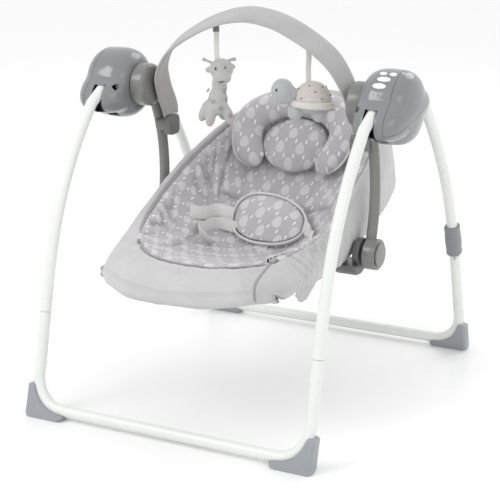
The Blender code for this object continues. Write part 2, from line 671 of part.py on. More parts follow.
def seat_cover_solid():
    """Bucket with a border that folds over the frame tube and hangs down as a skirt."""
    bm = bmesh.new()
    tops, bottoms = [], []
    for index in range(len(SEAT)):
        upper, lower = seat_station(index)
        for chain, rows in ((upper, tops), (lower, bottoms)):
            whole = [Vector((-p.x, p.y, p.z)) for p in reversed(chain[1:])] + chain
            rows.append([bm.verts.new(p) for p in whole])
    last = len(tops[0]) - 1
    for k in range(len(SEAT) - 1):
        for i in range(last):
            bm.faces.new([tops[k][i], tops[k][i + 1], tops[k + 1][i + 1], tops[k + 1][i]])
            bm.faces.new([bottoms[k][i], bottoms[k + 1][i], bottoms[k + 1][i + 1],
                          bottoms[k][i + 1]])
        for i in (0, last):
            bm.faces.new([tops[k][i], tops[k + 1][i], bottoms[k + 1][i], bottoms[k][i]])
    for k in (0, len(SEAT) - 1):
        for i in range(last):
            bm.faces.new([tops[k][i], bottoms[k][i], bottoms[k][i + 1], tops[k][i + 1]])
    return bm


def frame_line():
    """Loop of the seat frame: inside the border at the sides, under the liner at the ends."""
    side = []
    for index in range(4, 9):
        (_, (w, ry, rz), _) = SEAT[index]
        _, down = seat_axes(index)
        side.append(Vector((w - 0.0170, ry, rz)) + down * 0.0190)
    front = [Vector((0.0, -0.262, 0.2655)), Vector((0.090, -0.252, 0.2665)),
             Vector((0.150, -0.228, 0.2700)), Vector((0.178, -0.188, 0.2850))]
    back = [Vector((0.150, 0.258, 0.430)), Vector((0.080, 0.272, 0.428)),
            Vector((0.0, 0.277, 0.428))]
    half = front + side + back
    return [Vector((-p.x, p.y, p.z)) for p in reversed(half[1:-1])], half


def build_seat(seat, mats):
    left, right = frame_line()
    loop = right + left
    count = len(loop)
    line = []
    for i in range(count):
        a, b, c, d = (loop[(i + k) % count] for k in (-1, 0, 1, 2))
        for step in range(3):
            t = step / 3
            line.append(0.5 * (2 * b + (c - a) * t + (2 * a - 5 * b + 4 * c - d) * t * t
                               + (3 * b - a - 3 * c + d) * t ** 3))
    rings = []
    for i, point in enumerate(line):
        tangent = (line[(i + 1) % len(line)] - line[i - 1]).normalized()
        up = Vector((0, -0.35, 1.0))
        across = tangent.cross(up).normalized()
        up = across.cross(tangent)
        rings.append([point + across * a + up * b for a, b in circle(FRAME_R, 10)])
    add("seat_frame", loft(rings, loop=True), mats["tube"], seat)
    add("seat_cover", seat_cover_solid(), mats["velour"], seat, 50)
    for side, sign in SIDES.items():
        build_seat_hub(side, sign, seat, mats)


def build_seat_hub(side, sign, seat, mats):
    """Recline hub: disc at the arm, lower drum and a strut up to the frame tube."""
    disc = turned(((0.2125, 0.0270), (0.2135, 0.0290), (0.2246, 0.0290), (0.2256, 0.0280)),
                  PIVOT, 28)
    hub = add(f"recline_hub_{side}", mirrored(disc, sign), mats["dark_grey"], seat)
    low = Vector((0, PIVOT.y - 0.012, PIVOT.z - 0.009))
    drum = turned(((0.1790, 0.0300), (0.1820, 0.0335), (0.2200, 0.0335), (0.2250, 0.0300)), low, 28)
    floor_cut = box((0.10, -0.10, 0.2790), (0.30, 0.10, 0.40))
    drum_mesh = mirrored(drum, sign)
    boolean(hub, trimmed(drum_mesh, mirrored(floor_cut, sign)), "UNION")
    trunnion = rod(0.2200, 0.2555, 0.0075, PIVOT, 20)
    boolean(hub, mirrored(trunnion, sign), "UNION")
    strut = box((0.1815, -0.014, 0.2660), (0.1920, 0.010, STRUT_TOP))
    boolean(hub, mirrored(strut, sign), "UNION")
    boolean(hub, seat_frame_cutter())


def trimmed(bm, cutter):
    """bm with the part above the cutter's lowest face removed."""
    level = min(v.co.z for v in cutter.verts)
    cutter.free()
    geom = bm.verts[:] + bm.edges[:] + bm.faces[:]
    cut = bmesh.ops.bisect_plane(bm, geom=geom, plane_co=(0, 0, level), plane_no=(0, 0, 1),
                                 clear_outer=True)
    edges = [e for e in cut["geom_cut"] if isinstance(e, bmesh.types.BMEdge)]
    bmesh.ops.contextual_create(bm, geom=edges)
    return bm


def seat_frame_cutter():
    """The frame tube's own space near the hubs, so that each strut cradles it."""
    _, right = frame_line()
    line = smooth_line(right[4:9], 3)
    whole = sweep(line, circle(FRAME_R + GAP, 12))
    other = sweep([Vector((-p.x, p.y, p.z)) for p in line], circle(FRAME_R + GAP, 12))
    mesh = bpy.data.meshes.new("frame_room")
    other.to_mesh(mesh)
    other.free()
    whole.from_mesh(mesh)
    bpy.data.meshes.remove(mesh)
    return whole


# Soft pieces of the seat, in the plane of the backrest: u across, v up the back.

BACK_UP = Vector((0, 0.55, 0.835)).normalized()
BACK_OUT = Vector((0, -BACK_UP.z, BACK_UP.y))
PILLOW = Vector((0, 0.186, 0.480))


def on_back(origin, u, v, out):
    return origin + Vector((u, 0, 0)) + BACK_UP * v + BACK_OUT * out


def build_soft(seat, mats):
    arc = []
    for i in range(21):
        angle = math.radians(-140 + 280 * i / 20)
        u = 0.107 * math.sin(angle)
        reach = 0.065 if math.cos(angle) > 0 else 0.100
        arc.append(on_back(PILLOW, u, reach * math.cos(angle) - 0.004, 0.012 + 0.9 * u * u))
    roll = sweep(arc, rounded(0.056, 0.060, 0.026), side=BACK_OUT,
                 scale=lambda t: 0.80 + 0.20 * min(1.0, 4 * min(t, 1 - t)))
    add("head_pillow", roll, mats["print"], seat, 60)
    cushion = oval_plug(on_back(PILLOW, 0, -0.026, -0.004), BACK_OUT, Vector((1, 0, 0)),
                        0.128, 0.108, -0.010, 0.016, 24)
    add("head_cushion", cushion, mats["print"], seat, 60)
    pad_up = Vector((0, 0.62, 0.785)).normalized()
    pad_out = Vector((0, -pad_up.z, pad_up.y))
    pad_centre = Vector((0.004, 0.041, 0.329))
    pad = oval_plug(pad_centre, pad_out, Vector((1, 0, 0)), 0.160, 0.108, -0.009, 0.009, 28)
    add("harness_pad", pad, mats["print"], seat, 60)
    strap = rounded(0.032, 0.0025, 0.001, 1)
    for side, sign in SIDES.items():
        ends = [pad_centre + Vector((sign * 0.0835, 0.0, 0.004)),
                Vector((sign * 0.102, 0.037, 0.342)), Vector((sign * 0.120, 0.031, 0.362))]
        add(f"waist_strap_{side}", sweep(smooth_line(ends, 3), strap, side=pad_up),
            mats["webbing"], seat)
    low = pad_centre - pad_up * 0.0580
    ends = [low, Vector((0, low.y - 0.022, low.z - 0.010)), Vector((0, low.y - 0.050, low.z - 0.0005))]
    add("crotch_strap", sweep(smooth_line(ends, 3), strap, side=(1, 0, 0)), mats["webbing"], seat)


# Assembly.

def build():
    for obj in list(bpy.data.objects):
        bpy.data.objects.remove(obj)
    mats = {
        "tube": material("white_tube", (0.86, 0.87, 0.85), 0.35),
        "hub": material("hub_plastic", (0.27, 0.28, 0.29), 0.25),
        "arm": material("arm_plastic", (0.30, 0.30, 0.29), 0.30),
        "foot": material("foot_plastic", (0.42, 0.43, 0.44), 0.40),
        "grey": material("grey_plastic", (0.34, 0.35, 0.35), 0.40),
        "dark_grey": material("dark_grey_plastic", (0.20, 0.20, 0.21), 0.40),
        "clip": material("clip_plastic", (0.22, 0.22, 0.22), 0.40),
        "button": material("white_button", (0.85, 0.83, 0.85), 0.35),
        "white_plastic": material("white_plastic", (0.80, 0.80, 0.78), 0.45),
        "dark": material("dark_plastic", (0.04, 0.04, 0.04), 0.45),
        "steel": material("steel", (0.55, 0.55, 0.56), 0.30, 1.0),
        "copper": material("copper_winding", (0.55, 0.27, 0.12), 0.40, 1.0),
        "cell": material("battery_cell", (0.10, 0.11, 0.13), 0.40),
        "board": material("circuit_board", (0.05, 0.22, 0.10), 0.50),
        "velour": material("velour", (0.50, 0.49, 0.49), 0.90),
        "print": material("printed_fabric", (0.46, 0.44, 0.47), 0.90),
        "webbing": material("webbing", (0.72, 0.71, 0.70), 0.85),
        "plush": material("plush", (0.45, 0.46, 0.46), 0.95),
    }
    root = body("stand")
    fold = body("front_frame", (0, HUB.y, HUB.z))
    swing = body("swing", (0, HUB.y, HUB.z))
    seat = body("seat", PIVOT)
    bar = body("toy_bar_body", BAR_PIVOT)
    build_stand(root, fold, mats)
    housings = {side: build_hub(side, sign, root, mats) for side, sign in SIDES.items()}
    build_control_side(*housings["right"], root, mats)
    build_buttons(housings["right"][0], root, mats)
    build_fold_pivots(fold, mats)
    build_swing(swing, mats)
    build_toy_bar(bar, mats)
    build_toys(body("giraffe_body", GIRAFFE), body("turtle_body", TURTLE), mats)
    build_seat(seat, mats)
    build_soft(seat, mats)
    bpy.context.view_layer.update()


build()
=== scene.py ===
"""Looks of the electric baby swing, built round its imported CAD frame.

Metres, +Z up, -Y towards the foot end of the seat, +X towards the hub with the buttons.
Every piece is made in place, in the frame's own coordinates, and rides on a CAD body.
"""

import json
import math

import bmesh
import bpy
import numpy as np
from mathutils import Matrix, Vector, noise

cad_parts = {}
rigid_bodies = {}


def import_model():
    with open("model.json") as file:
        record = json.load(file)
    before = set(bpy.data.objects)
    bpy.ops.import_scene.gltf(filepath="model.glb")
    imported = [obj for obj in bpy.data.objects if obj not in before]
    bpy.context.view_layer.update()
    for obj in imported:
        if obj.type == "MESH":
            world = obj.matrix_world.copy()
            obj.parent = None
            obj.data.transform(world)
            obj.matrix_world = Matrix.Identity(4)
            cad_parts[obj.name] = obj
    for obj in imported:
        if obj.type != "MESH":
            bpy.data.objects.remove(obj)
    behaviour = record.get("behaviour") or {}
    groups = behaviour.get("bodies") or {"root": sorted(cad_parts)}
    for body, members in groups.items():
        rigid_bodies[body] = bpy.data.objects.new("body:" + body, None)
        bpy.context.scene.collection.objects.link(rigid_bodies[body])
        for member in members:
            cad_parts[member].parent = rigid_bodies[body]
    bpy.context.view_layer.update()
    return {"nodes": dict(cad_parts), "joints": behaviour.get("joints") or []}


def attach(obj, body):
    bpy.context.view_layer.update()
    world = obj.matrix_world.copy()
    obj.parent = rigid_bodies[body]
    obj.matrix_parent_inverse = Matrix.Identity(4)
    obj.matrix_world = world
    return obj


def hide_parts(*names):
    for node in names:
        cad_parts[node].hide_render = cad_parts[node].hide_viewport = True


for old in list(bpy.data.objects):
    bpy.data.objects.remove(old)
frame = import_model()

SIDES = {"left": -1, "right": 1}
NODES = frame["nodes"]


def joint_at(name):
    return Vector(next(j["pos_m"] for j in frame["joints"] if j["name"] == name))


HUB = joint_at("swing_hinge") + Vector((0.297, 0, 0))
PIVOT = joint_at("seat_recline")
BAR_PIVOT = joint_at("toy_bar_hinge")
GIRAFFE = joint_at("giraffe_hang")
TURTLE = joint_at("turtle_hang")
GAP = 0.0004


# Node materials.

class Look:
    """A Principled material whose colour, roughness and bump come from a small node graph."""

    def __init__(self, name, rough, metallic=0.0, coat=0.0, sheen=0.0, specular=0.5):
        self.mat = bpy.data.materials.new(name)
        self.mat.use_nodes = True
        self.tree = self.mat.node_tree
        self.bsdf = self.tree.nodes["Principled BSDF"]
        for socket, value in (("Roughness", rough), ("Metallic", metallic), ("Coat Weight", coat),
                              ("Sheen Weight", sheen), ("Specular IOR Level", specular)):
            self.bsdf.inputs[socket].default_value = value
        self.coords = self.tree.nodes.new("ShaderNodeTexCoord").outputs["Object"]

    def node(self, kind, **inputs):
        made = self.tree.nodes.new(kind)
        for key, value in inputs.items():
            self.put(made.inputs[key.replace("_", " ")], value)
        return made

    def put(self, socket, value):
        if isinstance(value, bpy.types.NodeSocket):
            self.tree.links.new(value, socket)
        elif socket.type == "RGBA" and len(value) == 3:
            socket.default_value = (*value, 1.0)
        else:
            socket.default_value = value

    def math(self, operation, a, b=0.0, c=0.0):
        made = self.tree.nodes.new("ShaderNodeMath")
        made.operation = operation
        for socket, value in zip(made.inputs, (a, b, c)):
            self.put(socket, value)
        return made.outputs[0]

    def noise(self, scale, detail=3.0, rough=0.5, where=None):
        made = self.node("ShaderNodeTexNoise", Scale=scale, Detail=detail, Roughness=rough,
                         Vector=where or self.coords)
        return made.outputs["Fac"]

    def ramp(self, value, low, high, to_low=0.0, to_high=1.0):
        made = self.node("ShaderNodeMapRange", Value=value, From_Min=low, From_Max=high,
                         To_Min=to_low, To_Max=to_high)
        made.interpolation_type = "SMOOTHSTEP"
        return made.outputs["Result"]

    def mix(self, factor, a, b):
        made = self.tree.nodes.new("ShaderNodeMix")
        made.data_type = "RGBA"
        self.put(made.inputs[0], factor)
        self.put(made.inputs[6], a)
        self.put(made.inputs[7], b)
        return made.outputs[2]

    def attribute(self, name, output="Vector"):
        """A value that the mesh holds at each vertex."""
        made = self.tree.nodes.new("ShaderNodeAttribute")
        made.attribute_name = name
        return made.outputs[output]

    def colour(self, value):
        self.put(self.bsdf.inputs["Base Color"], value)
        return self

    def paint_crease_shade(self, strength=0.5):
        """Paints shade into the colour, darker in the seams and folds that the mesh marks."""
        link = self.bsdf.inputs["Base Color"].links[0]
        factor = self.math("MULTIPLY", self.attribute("crease_shade", "Fac"), strength)
        # Painted shade: mixes the colour towards a dark grey where the crease attribute marks seams and
        # folds.
        self.colour(self.mix(factor, link.from_socket, (0.10, 0.095, 0.10)))
        return self

    def rough(self, value):
        self.put(self.bsdf.inputs["Roughness"], value)
        return self

    def bump(self, height, strength, distance):
        before = self.bsdf.inputs["Normal"]
        made = self.node("ShaderNodeBump", Strength=strength, Distance=distance, Height=height)
        if before.is_linked:
            self.put(made.inputs["Normal"], before.links[0].from_socket)
        self.put(before, made.outputs["Normal"])
        return self


def shade(colour, factor):
    return tuple(min(1.0, c * factor) for c in colour)


def plastic(name, colour, rough, coat=0.0, texture=0.0):
    """Moulded plastic: slight flow mottling, handling marks in the gloss and a fine texture."""
    look = Look(name, rough, coat=coat)
    look.colour(look.mix(look.noise(18, 4), shade(colour, 0.93), shade(colour, 1.07)))
    marks = look.noise(60, 6, 0.7)
    look.rough(look.ramp(marks, 0.35, 0.75, rough * 0.88, min(1.0, rough * 1.22)))
    look.bsdf.inputs["Coat Roughness"].default_value = rough * 0.5
    look.bump(look.noise(9, 2), 0.05, 0.0006)
    if texture:
        look.bump(look.noise(1500, 2), texture, 0.0002)
    return look.mat


def enamel(name, colour):
    """Powder coat on steel tube: orange peel and faint dulling."""
    look = Look(name, 0.3, coat=0.15)
    look.colour(look.mix(look.noise(7, 3), shade(colour, 0.97), shade(colour, 1.02)))
    look.rough(look.ramp(look.noise(35, 5, 0.6), 0.3, 0.8, 0.26, 0.40))
    look.bump(look.noise(700, 2), 0.06, 0.0003)
    return look.mat


def metal(name, colour, rough):
    look = Look(name, rough, metallic=1.0)
    look.colour(look.mix(look.noise(90, 4), shade(colour, 0.85), colour))
    look.rough(look.ramp(look.noise(400, 3), 0.3, 0.7, rough * 0.8, rough * 1.3))
    look.bump(look.noise(2200, 2), 0.08, 0.0001)
    return look.mat


def velour(name, colour, nap=1.0):
    """Short pile that lies one way or the other in patches, so its tone shifts."""
    look = Look(name, 0.92, sheen=0.35, specular=0.15)
    patches = look.ramp(look.noise(11, 4, 0.6), 0.32, 0.68)
    brushed = look.mix(patches, shade(colour, 1 - 0.07 * nap), shade(colour, 1 + 0.05 * nap))
    pile = look.ramp(look.noise(1100, 3, 0.7), 0.3, 0.7)
    look.colour(look.mix(pile, look.mix(0.12, brushed, (0, 0, 0)), brushed))
    look.bsdf.inputs["Sheen Roughness"].default_value = 0.45
    look.bump(look.noise(55, 3, 0.6), 0.10, 0.002)
    look.bump(look.noise(900, 3, 0.7), 0.35, 0.0005)
    # Painted shade in the seams and folds that the mesh marks.
    return look.paint_crease_shade(0.6).mat


def webbing(name, colour):
    """Woven tape: close ribs across it, with painted shade in the grooves between them."""
    look = Look(name, 0.8, sheen=0.1, specular=0.25)
    where = look.attribute("cloth")
    weft = look.node("ShaderNodeTexWave", Vector=where, Scale=230.0, Distortion=0.6, Detail=1.0)
    weft.bands_direction = "Y"
    warp = look.node("ShaderNodeTexWave", Vector=where, Scale=120.0, Distortion=0.4, Detail=1.0)
    rib = look.math("MULTIPLY", weft.outputs["Fac"], look.math("ADD", warp.outputs["Fac"], 0.6))
    # Painted shade: the colour darkens in the grooves between the ribs, following the same relief as
    # the bump.
    look.colour(look.mix(look.ramp(rib, 0.1, 1.2), shade(colour, 0.84), shade(colour, 1.04)))
    look.bump(rib, 0.5, 0.0005)
    return look.mat


CELL = (0.045, 0.032)  # repeat of the print, across and along the cloth


def printed(name, ground, motif, stroke):
    """Staggered rounded trees with short strokes between them, on fine jersey."""
    look = Look(name, 0.88, sheen=0.25, specular=0.15)
    where = look.attribute("cloth")
    wobble = look.node("ShaderNodeTexNoise", Vector=where, Scale=45.0, Detail=1.0)
    offset = look.node("ShaderNodeVectorMath", Vector=wobble.outputs["Color"])
    offset.operation = "SCALE"
    offset.inputs["Scale"].default_value = 0.0035
    moved = look.tree.nodes.new("ShaderNodeVectorMath")
    look.put(moved.inputs[0], where)
    look.put(moved.inputs[1], offset.outputs[0])
    split = look.node("ShaderNodeSeparateXYZ", Vector=moved.outputs[0])
    row = look.math("DIVIDE", split.outputs["Y"], CELL[1])
    shift = look.math("MULTIPLY", look.math("FLOORED_MODULO", look.math("FLOOR", row), 2.0), 0.5)
    column = look.math("ADD", look.math("DIVIDE", split.outputs["X"], CELL[0]), shift)

    def local(value, size):
        return look.math("MULTIPLY", look.math("SUBTRACT", look.math("FRACT", value), 0.5), size)

    x, y = local(column, CELL[0]), local(row, CELL[1])
    # A crown is an ellipse that narrows towards its top.
    narrow = look.math("MULTIPLY_ADD", y, 22.0, 1.0)
    span = look.math("MULTIPLY", look.math("DIVIDE", x, 0.0093), narrow)
    height = look.math("DIVIDE", y, 0.0122)
    reach = look.math("ADD", look.math("POWER", look.math("ABSOLUTE", span), 2.0),
                      look.math("POWER", look.math("ABSOLUTE", height), 2.0))
    crown = look.ramp(reach, 1.12, 0.86)
    veins = look.math("SINE", look.math("ADD", look.math("MULTIPLY", look.math("ABSOLUTE", x), 1500.0),
                                        look.math("MULTIPLY", y, -1100.0)))
    crown = look.math("MULTIPLY", crown, look.ramp(veins, -1.0, 0.4, 0.62, 1.0))
    # A row of short strokes stands between each two rows of trees.
    x2 = local(look.math("MULTIPLY", column, 2.0), CELL[0] / 2)
    y2 = local(look.math("ADD", row, 0.5), CELL[1])
    lean = look.math("MULTIPLY_ADD", y2, -0.15, x2)
    thin = look.ramp(look.math("ABSOLUTE", lean), 0.0017, 0.0010)
    short = look.ramp(look.math("ABSOLUTE", look.math("ADD", y2, 0.001)), 0.0046, 0.0036)
    mark = look.math("MULTIPLY", thin, short)
    tone = look.ramp(look.noise(16, 3), 0.3, 0.7)
    base = look.mix(tone, shade(ground, 0.96), shade(ground, 1.04))
    look.colour(look.mix(mark, look.mix(crown, base, motif), stroke))
    ribs = look.node("ShaderNodeTexWave", Vector=where, Scale=190.0, Distortion=1.5, Detail=2.0)
    look.bump(ribs.outputs["Fac"], 0.3, 0.0003)
    # Painted shade in the seams and folds that the mesh marks.
    return look.bump(look.noise(70, 3), 0.12, 0.0015).paint_crease_shade(0.62).mat


def plush(name, colour, spots=None, spot_size=0.012):
    """Brushed plush, with optional soft-edged darker spots."""
    look = Look(name, 0.95, sheen=0.5, specular=0.1)
    tufts = look.ramp(look.noise(520, 4, 0.7), 0.3, 0.7)
    base = look.mix(tufts, shade(colour, 0.84), shade(colour, 1.06))
    if spots:
        cells = look.node("ShaderNodeTexVoronoi", Scale=1 / spot_size, Vector=look.coords)
        patch = look.ramp(cells.outputs["Distance"], 0.36, 0.26)
        # The head has no spots.
        height = look.node("ShaderNodeSeparateXYZ", Vector=look.coords).outputs["Z"]
        patch = look.math("MULTIPLY", patch, look.ramp(height, 0.618, 0.606))
        base = look.mix(look.math("MULTIPLY", patch, 0.75), base, spots)
    look.colour(base)
    look.bump(look.noise(480, 5, 0.75), 0.7, 0.0012)
    return look.mat


LOOKS = {
    "tube": enamel("white_enamel", (0.76, 0.775, 0.75)),
    "hub": plastic("hub_gloss", (0.205, 0.215, 0.222), 0.16, coat=0.25),
    "arm": plastic("arm_satin", (0.185, 0.185, 0.175), 0.24, coat=0.15),
    "foot": plastic("foot_satin", (0.30, 0.315, 0.335), 0.36, texture=0.10),
    "grey": plastic("clamp_satin", (0.235, 0.245, 0.26), 0.38, texture=0.08),
    "dark_grey": plastic("recline_satin", (0.115, 0.115, 0.12), 0.32, texture=0.05),
    "clip": plastic("clip_satin", (0.15, 0.15, 0.148), 0.34),
    "button": plastic("button_white", (0.83, 0.81, 0.85), 0.25),
    "white_plastic": plastic("nylon_white", (0.72, 0.72, 0.70), 0.45),
    "dark": plastic("black_plastic", (0.02, 0.02, 0.022), 0.35),
    "steel": metal("zinc_steel", (0.56, 0.56, 0.57), 0.34),
    "copper": metal("enamelled_copper", (0.58, 0.26, 0.11), 0.36),
    "cell": plastic("cell_sleeve", (0.05, 0.055, 0.07), 0.3),
    "board": plastic("board_green", (0.03, 0.16, 0.06), 0.4),
    "velour": velour("velour_grey", (0.545, 0.542, 0.545)),
    "bar": velour("bar_velour", (0.44, 0.437, 0.437)),
    "bar_lining": velour("bar_lining", (0.37, 0.35, 0.352), 0.5),
    "print": printed("tree_print", (0.465, 0.452, 0.472), (0.63, 0.62, 0.635), (0.86, 0.855, 0.87)),
    "piping": velour("piping", (0.36, 0.35, 0.365), 0.3),
    "light_piping": velour("light_piping", (0.68, 0.67, 0.68), 0.3),
    "webbing": webbing("white_webbing", (0.74, 0.735, 0.72)),
    "thread": plastic("thread", (0.66, 0.65, 0.66), 0.7),
    "slit": plastic("slit_shadow", (0.03, 0.03, 0.033), 0.9),
}


# Meshes.

def unit(vector):
    return vector / np.linalg.norm(vector)


def arc_length(line):
    """Distance of each point from the first, along the line."""
    return np.concatenate([[0.0], np.cumsum(np.linalg.norm(np.diff(line, axis=0), axis=1))])


def round_angles(count):
    return np.linspace(0, 2 * math.pi, count + 1)[:-1]


def mark(mesh, name, values):
    """Stores a number or a vector at each vertex."""
    values = np.asarray(values, np.float32)
    kind, key = ("FLOAT_VECTOR", "vector") if values.ndim > 1 else ("FLOAT", "value")
    mesh.attributes.new(name, kind, "POINT").data.foreach_set(key, values.ravel())


def modify(obj, name, kind, **settings):
    modifier = obj.modifiers.new(name, kind)
    for key, value in settings.items():
        setattr(modifier, key, value)


def bake(obj):
    """Replaces the mesh by what its modifiers make of it."""
    graph = bpy.context.evaluated_depsgraph_get()
    done = bpy.data.meshes.new_from_object(obj.evaluated_get(graph))
    obj.modifiers.clear()
    obj.data = done


def mesh_piece(name, verts, faces, look, body, slot, replaces=(), smooth_deg=40.0, cloth=None,
               crease_shade=None):
    """A piece from world coordinates. look is a material or a list, whose first covers each face."""
    mesh = bpy.data.meshes.new(name)
    mesh.from_pydata([tuple(v) for v in verts], [], [tuple(f) for f in faces])
    for one in look if isinstance(look, list) else [look]:
        mesh.materials.append(one)
    for key, values in (("cloth", cloth), ("crease_shade", crease_shade)):
        if values is not None:
            mark(mesh, key, values)
    bm = bmesh.new()
    bm.from_mesh(mesh)
    bmesh.ops.remove_doubles(bm, verts=bm.verts, dist=1e-6)
    bmesh.ops.recalc_face_normals(bm, faces=bm.faces)
    bm.to_mesh(mesh)
    bm.free()
    mesh.shade_smooth()
    mesh.set_sharp_from_angle(angle=math.radians(smooth_deg))
    obj = bpy.data.objects.new(name, mesh)
    bpy.context.scene.collection.objects.link(obj)
    if body:
        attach(obj, body)
    if replaces:
        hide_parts(*replaces)
    return obj


def skin(rings, loop=False):
    """Vertices and faces over closed rings of equal length. With loop, the last joins the first."""
    rings = np.asarray(rings, float)
    rows, count = rings.shape[:2]
    verts = rings.reshape(-1, 3)
    faces = []
    for r in range(rows if loop else rows - 1):
        a, b = r * count, (r + 1) % rows * count
        faces += [(a + i, a + (i + 1) % count, b + (i + 1) % count, b + i) for i in range(count)]
    if not loop:
        faces += [tuple(range(count))[::-1], tuple(range((rows - 1) * count, rows * count))]
    return verts, faces


def ring_piece(name, rings, look, body, slot, replaces=(), loop=False):
    """A piece over rings, in one of the named looks."""
    return mesh_piece(name, *skin(rings, loop=loop), LOOKS[look], body, slot, replaces=replaces)


def spline(points, steps):
    """Catmull-Rom curve through the points."""
    pts = np.asarray([tuple(p) for p in points], float)
    pts = np.concatenate([2 * pts[:1] - pts[1:2], pts, 2 * pts[-1:] - pts[-2:-1]])
    t = (np.arange(steps) / steps)[:, None]
    line = []
    for a, b, c, d in zip(pts, pts[1:], pts[2:], pts[3:]):
        line.append(0.5 * (2 * b + (c - a) * t + (2 * a - 5 * b + 4 * c - d) * t ** 2
                           + (3 * b - a - 3 * c + d) * t ** 3))
    return np.concatenate([*line, pts[-2:-1]])


def along_line(line, side, closed=False):
    """Tangent, side and normal at each point, carried along without twisting."""
    side = np.asarray(tuple(side), float)
    found = []
    last = len(line) - 1
    for i in range(len(line)):
        if closed:
            tangent = unit(line[(i + 1) % len(line)] - line[i - 1])
        else:
            tangent = unit(line[min(i + 1, last)] - line[max(i - 1, 0)])
        side = unit(side - side.dot(tangent) * tangent)
        found.append((tangent, side, np.cross(tangent, side)))
    return found


def sweep(line, section, side=(1, 0, 0), scale=None, closed=False):
    """Rings of a section, (across, up) points, carried along a line. Scale maps 0-1 to sizes."""
    line = np.asarray(line, float)
    rings = []
    for i, (point, (_, a, b)) in enumerate(zip(line, along_line(line, side, closed))):
        wide, tall = scale(i / (len(line) - 1)) if scale else (1.0, 1.0)
        rings.append([point + a * p * wide + b * q * tall for p, q in section])
    return rings


def circle(radius, count=28):
    turn = 2 * math.pi / count
    return [(radius * math.cos(i * turn), radius * math.sin(i * turn)) for i in range(count)]


def rounded(width, height, corner, steps=5):
    points = []
    for quarter in range(4):
        cx = (width / 2 - corner) * (1 if quarter in (0, 3) else -1)
        cy = (height / 2 - corner) * (1 if quarter in (0, 1) else -1)
        for i in range(steps + 1):
            angle = math.pi / 2 * (quarter + i / steps)
            points.append((cx + corner * math.cos(angle), cy + corner * math.sin(angle)))
    return points


def turned(profile, centre, count=64):
    """Rings about an X axis through centre, from (x, radius) points."""
    return [[(x, centre[1] + a, centre[2] + b) for a, b in circle(max(radius, 1e-5), count)]
            for x, radius in profile]


def flip(rings, sign):
    rings = np.array(rings, float)
    rings[..., 0] *= sign
    return rings


def combine(obj, rings, operation="DIFFERENCE"):
    """Cuts or joins obj with the solid over the rings, and applies it."""
    tool = mesh_piece("tool", *skin(rings), obj.data.materials[0], None, None)
    modify(obj, "join", "BOOLEAN", operation=operation, object=tool, solver="EXACT")
    bake(obj)
    bpy.data.objects.remove(tool)
    obj.data.shade_smooth()
    obj.data.set_sharp_from_angle(angle=math.radians(32))


def soften(obj, width, segments=2, angle=35.0):
    """Small rounded edges."""
    modify(obj, "soften", "BEVEL", width=width, segments=segments, limit_method="ANGLE",
           angle_limit=math.radians(angle), harden_normals=False)


def carry(node, look, bevel=0.0, smooth_deg=32.0):
    """Shows a CAD node as it is, with welded facets, smooth shading and its own material."""
    obj = NODES[node]
    obj.data.materials.clear()
    obj.data.materials.append(look)
    modify(obj, "weld", "WELD", merge_threshold=2e-5)
    if bevel:
        soften(obj, bevel, 3, 40)
    for layer in ("custom_normal", "sharp_edge", "sharp_face"):
        if layer in obj.data.attributes:
            obj.data.attributes.remove(obj.data.attributes[layer])
    obj.data.shade_smooth()
    modify(obj, "smooth", "EDGE_SPLIT", split_angle=math.radians(smooth_deg))


# Stand.

FLOOR_Y = 0.3685
FLOOR_Z = 0.0175
TUBE_R = 0.011
BEND_R = 0.062
FRONT_X, REAR_X = 0.290, 0.303
FRONT_LEG = ((-0.3475, 0.0967), (-0.326, 0.193), (-0.303, 0.290), (-0.270, 0.387),
             (-0.218, 0.483), (-0.158, 0.561), (-0.136, 0.579), (-0.085, 0.607))
REAR_LEG = ((0.347, 0.0967), (0.321, 0.193), (0.290, 0.290), (0.2475, 0.387),
            (0.188, 0.483), (0.124, 0.561), (0.104, 0.5785), (0.020, 0.618))
SEAM_Z = {"front": 0.196, "rear": 0.262}
CLAMP_Z = (0.232, 0.296)


def leg_line(outline, x, steps=8):
    return spline([(x, y, z) for y, z in outline], steps)


def floor_line(outline, x, seam):
    """Floor tube with a bend and a short upright at each end."""
    y = math.copysign(FLOOR_Y, outline[0][0])
    lean = (outline[0][0] - y) / (outline[0][1] - FLOOR_Z)
    half = [(0.0, y, FLOOR_Z), (0.12, y, FLOOR_Z)]
    for angle in np.radians(np.linspace(0, 90, 15)):
        rise = BEND_R * (1 - math.cos(angle))
        half.append((x - BEND_R + BEND_R * math.sin(angle), y + lean * rise, FLOOR_Z + rise))
    half += [tuple(p) for p in leg_line(outline, x) if p[2] < seam - 0.004]
    last = np.array(half[-1])
    half.append(tuple(last + (last - np.array(half[-2])) * (seam - last[2]) / (last[2] - half[-2][2])))
    return np.array([(-px, py, pz) for px, py, pz in reversed(half[1:])] + half)


def tube_piece(name, line, body):
    """Tube with slightly rolled ends."""
    def ends(t):
        edge = min(t, 1 - t) * (len(line) - 1)
        size = 0.9 if edge < 0.5 else 1.0
        return size, size

    first = line[0] + (line[1] - line[0]) * 0.04
    last = line[-1] + (line[-2] - line[-1]) * 0.04
    full = np.concatenate([line[:1], [first], line[1:-1], [last], line[-1:]])
    ring_piece(name + "_looks", sweep(full, circle(TUBE_R), scale=ends), "tube", body, "white_tube",
               [name])


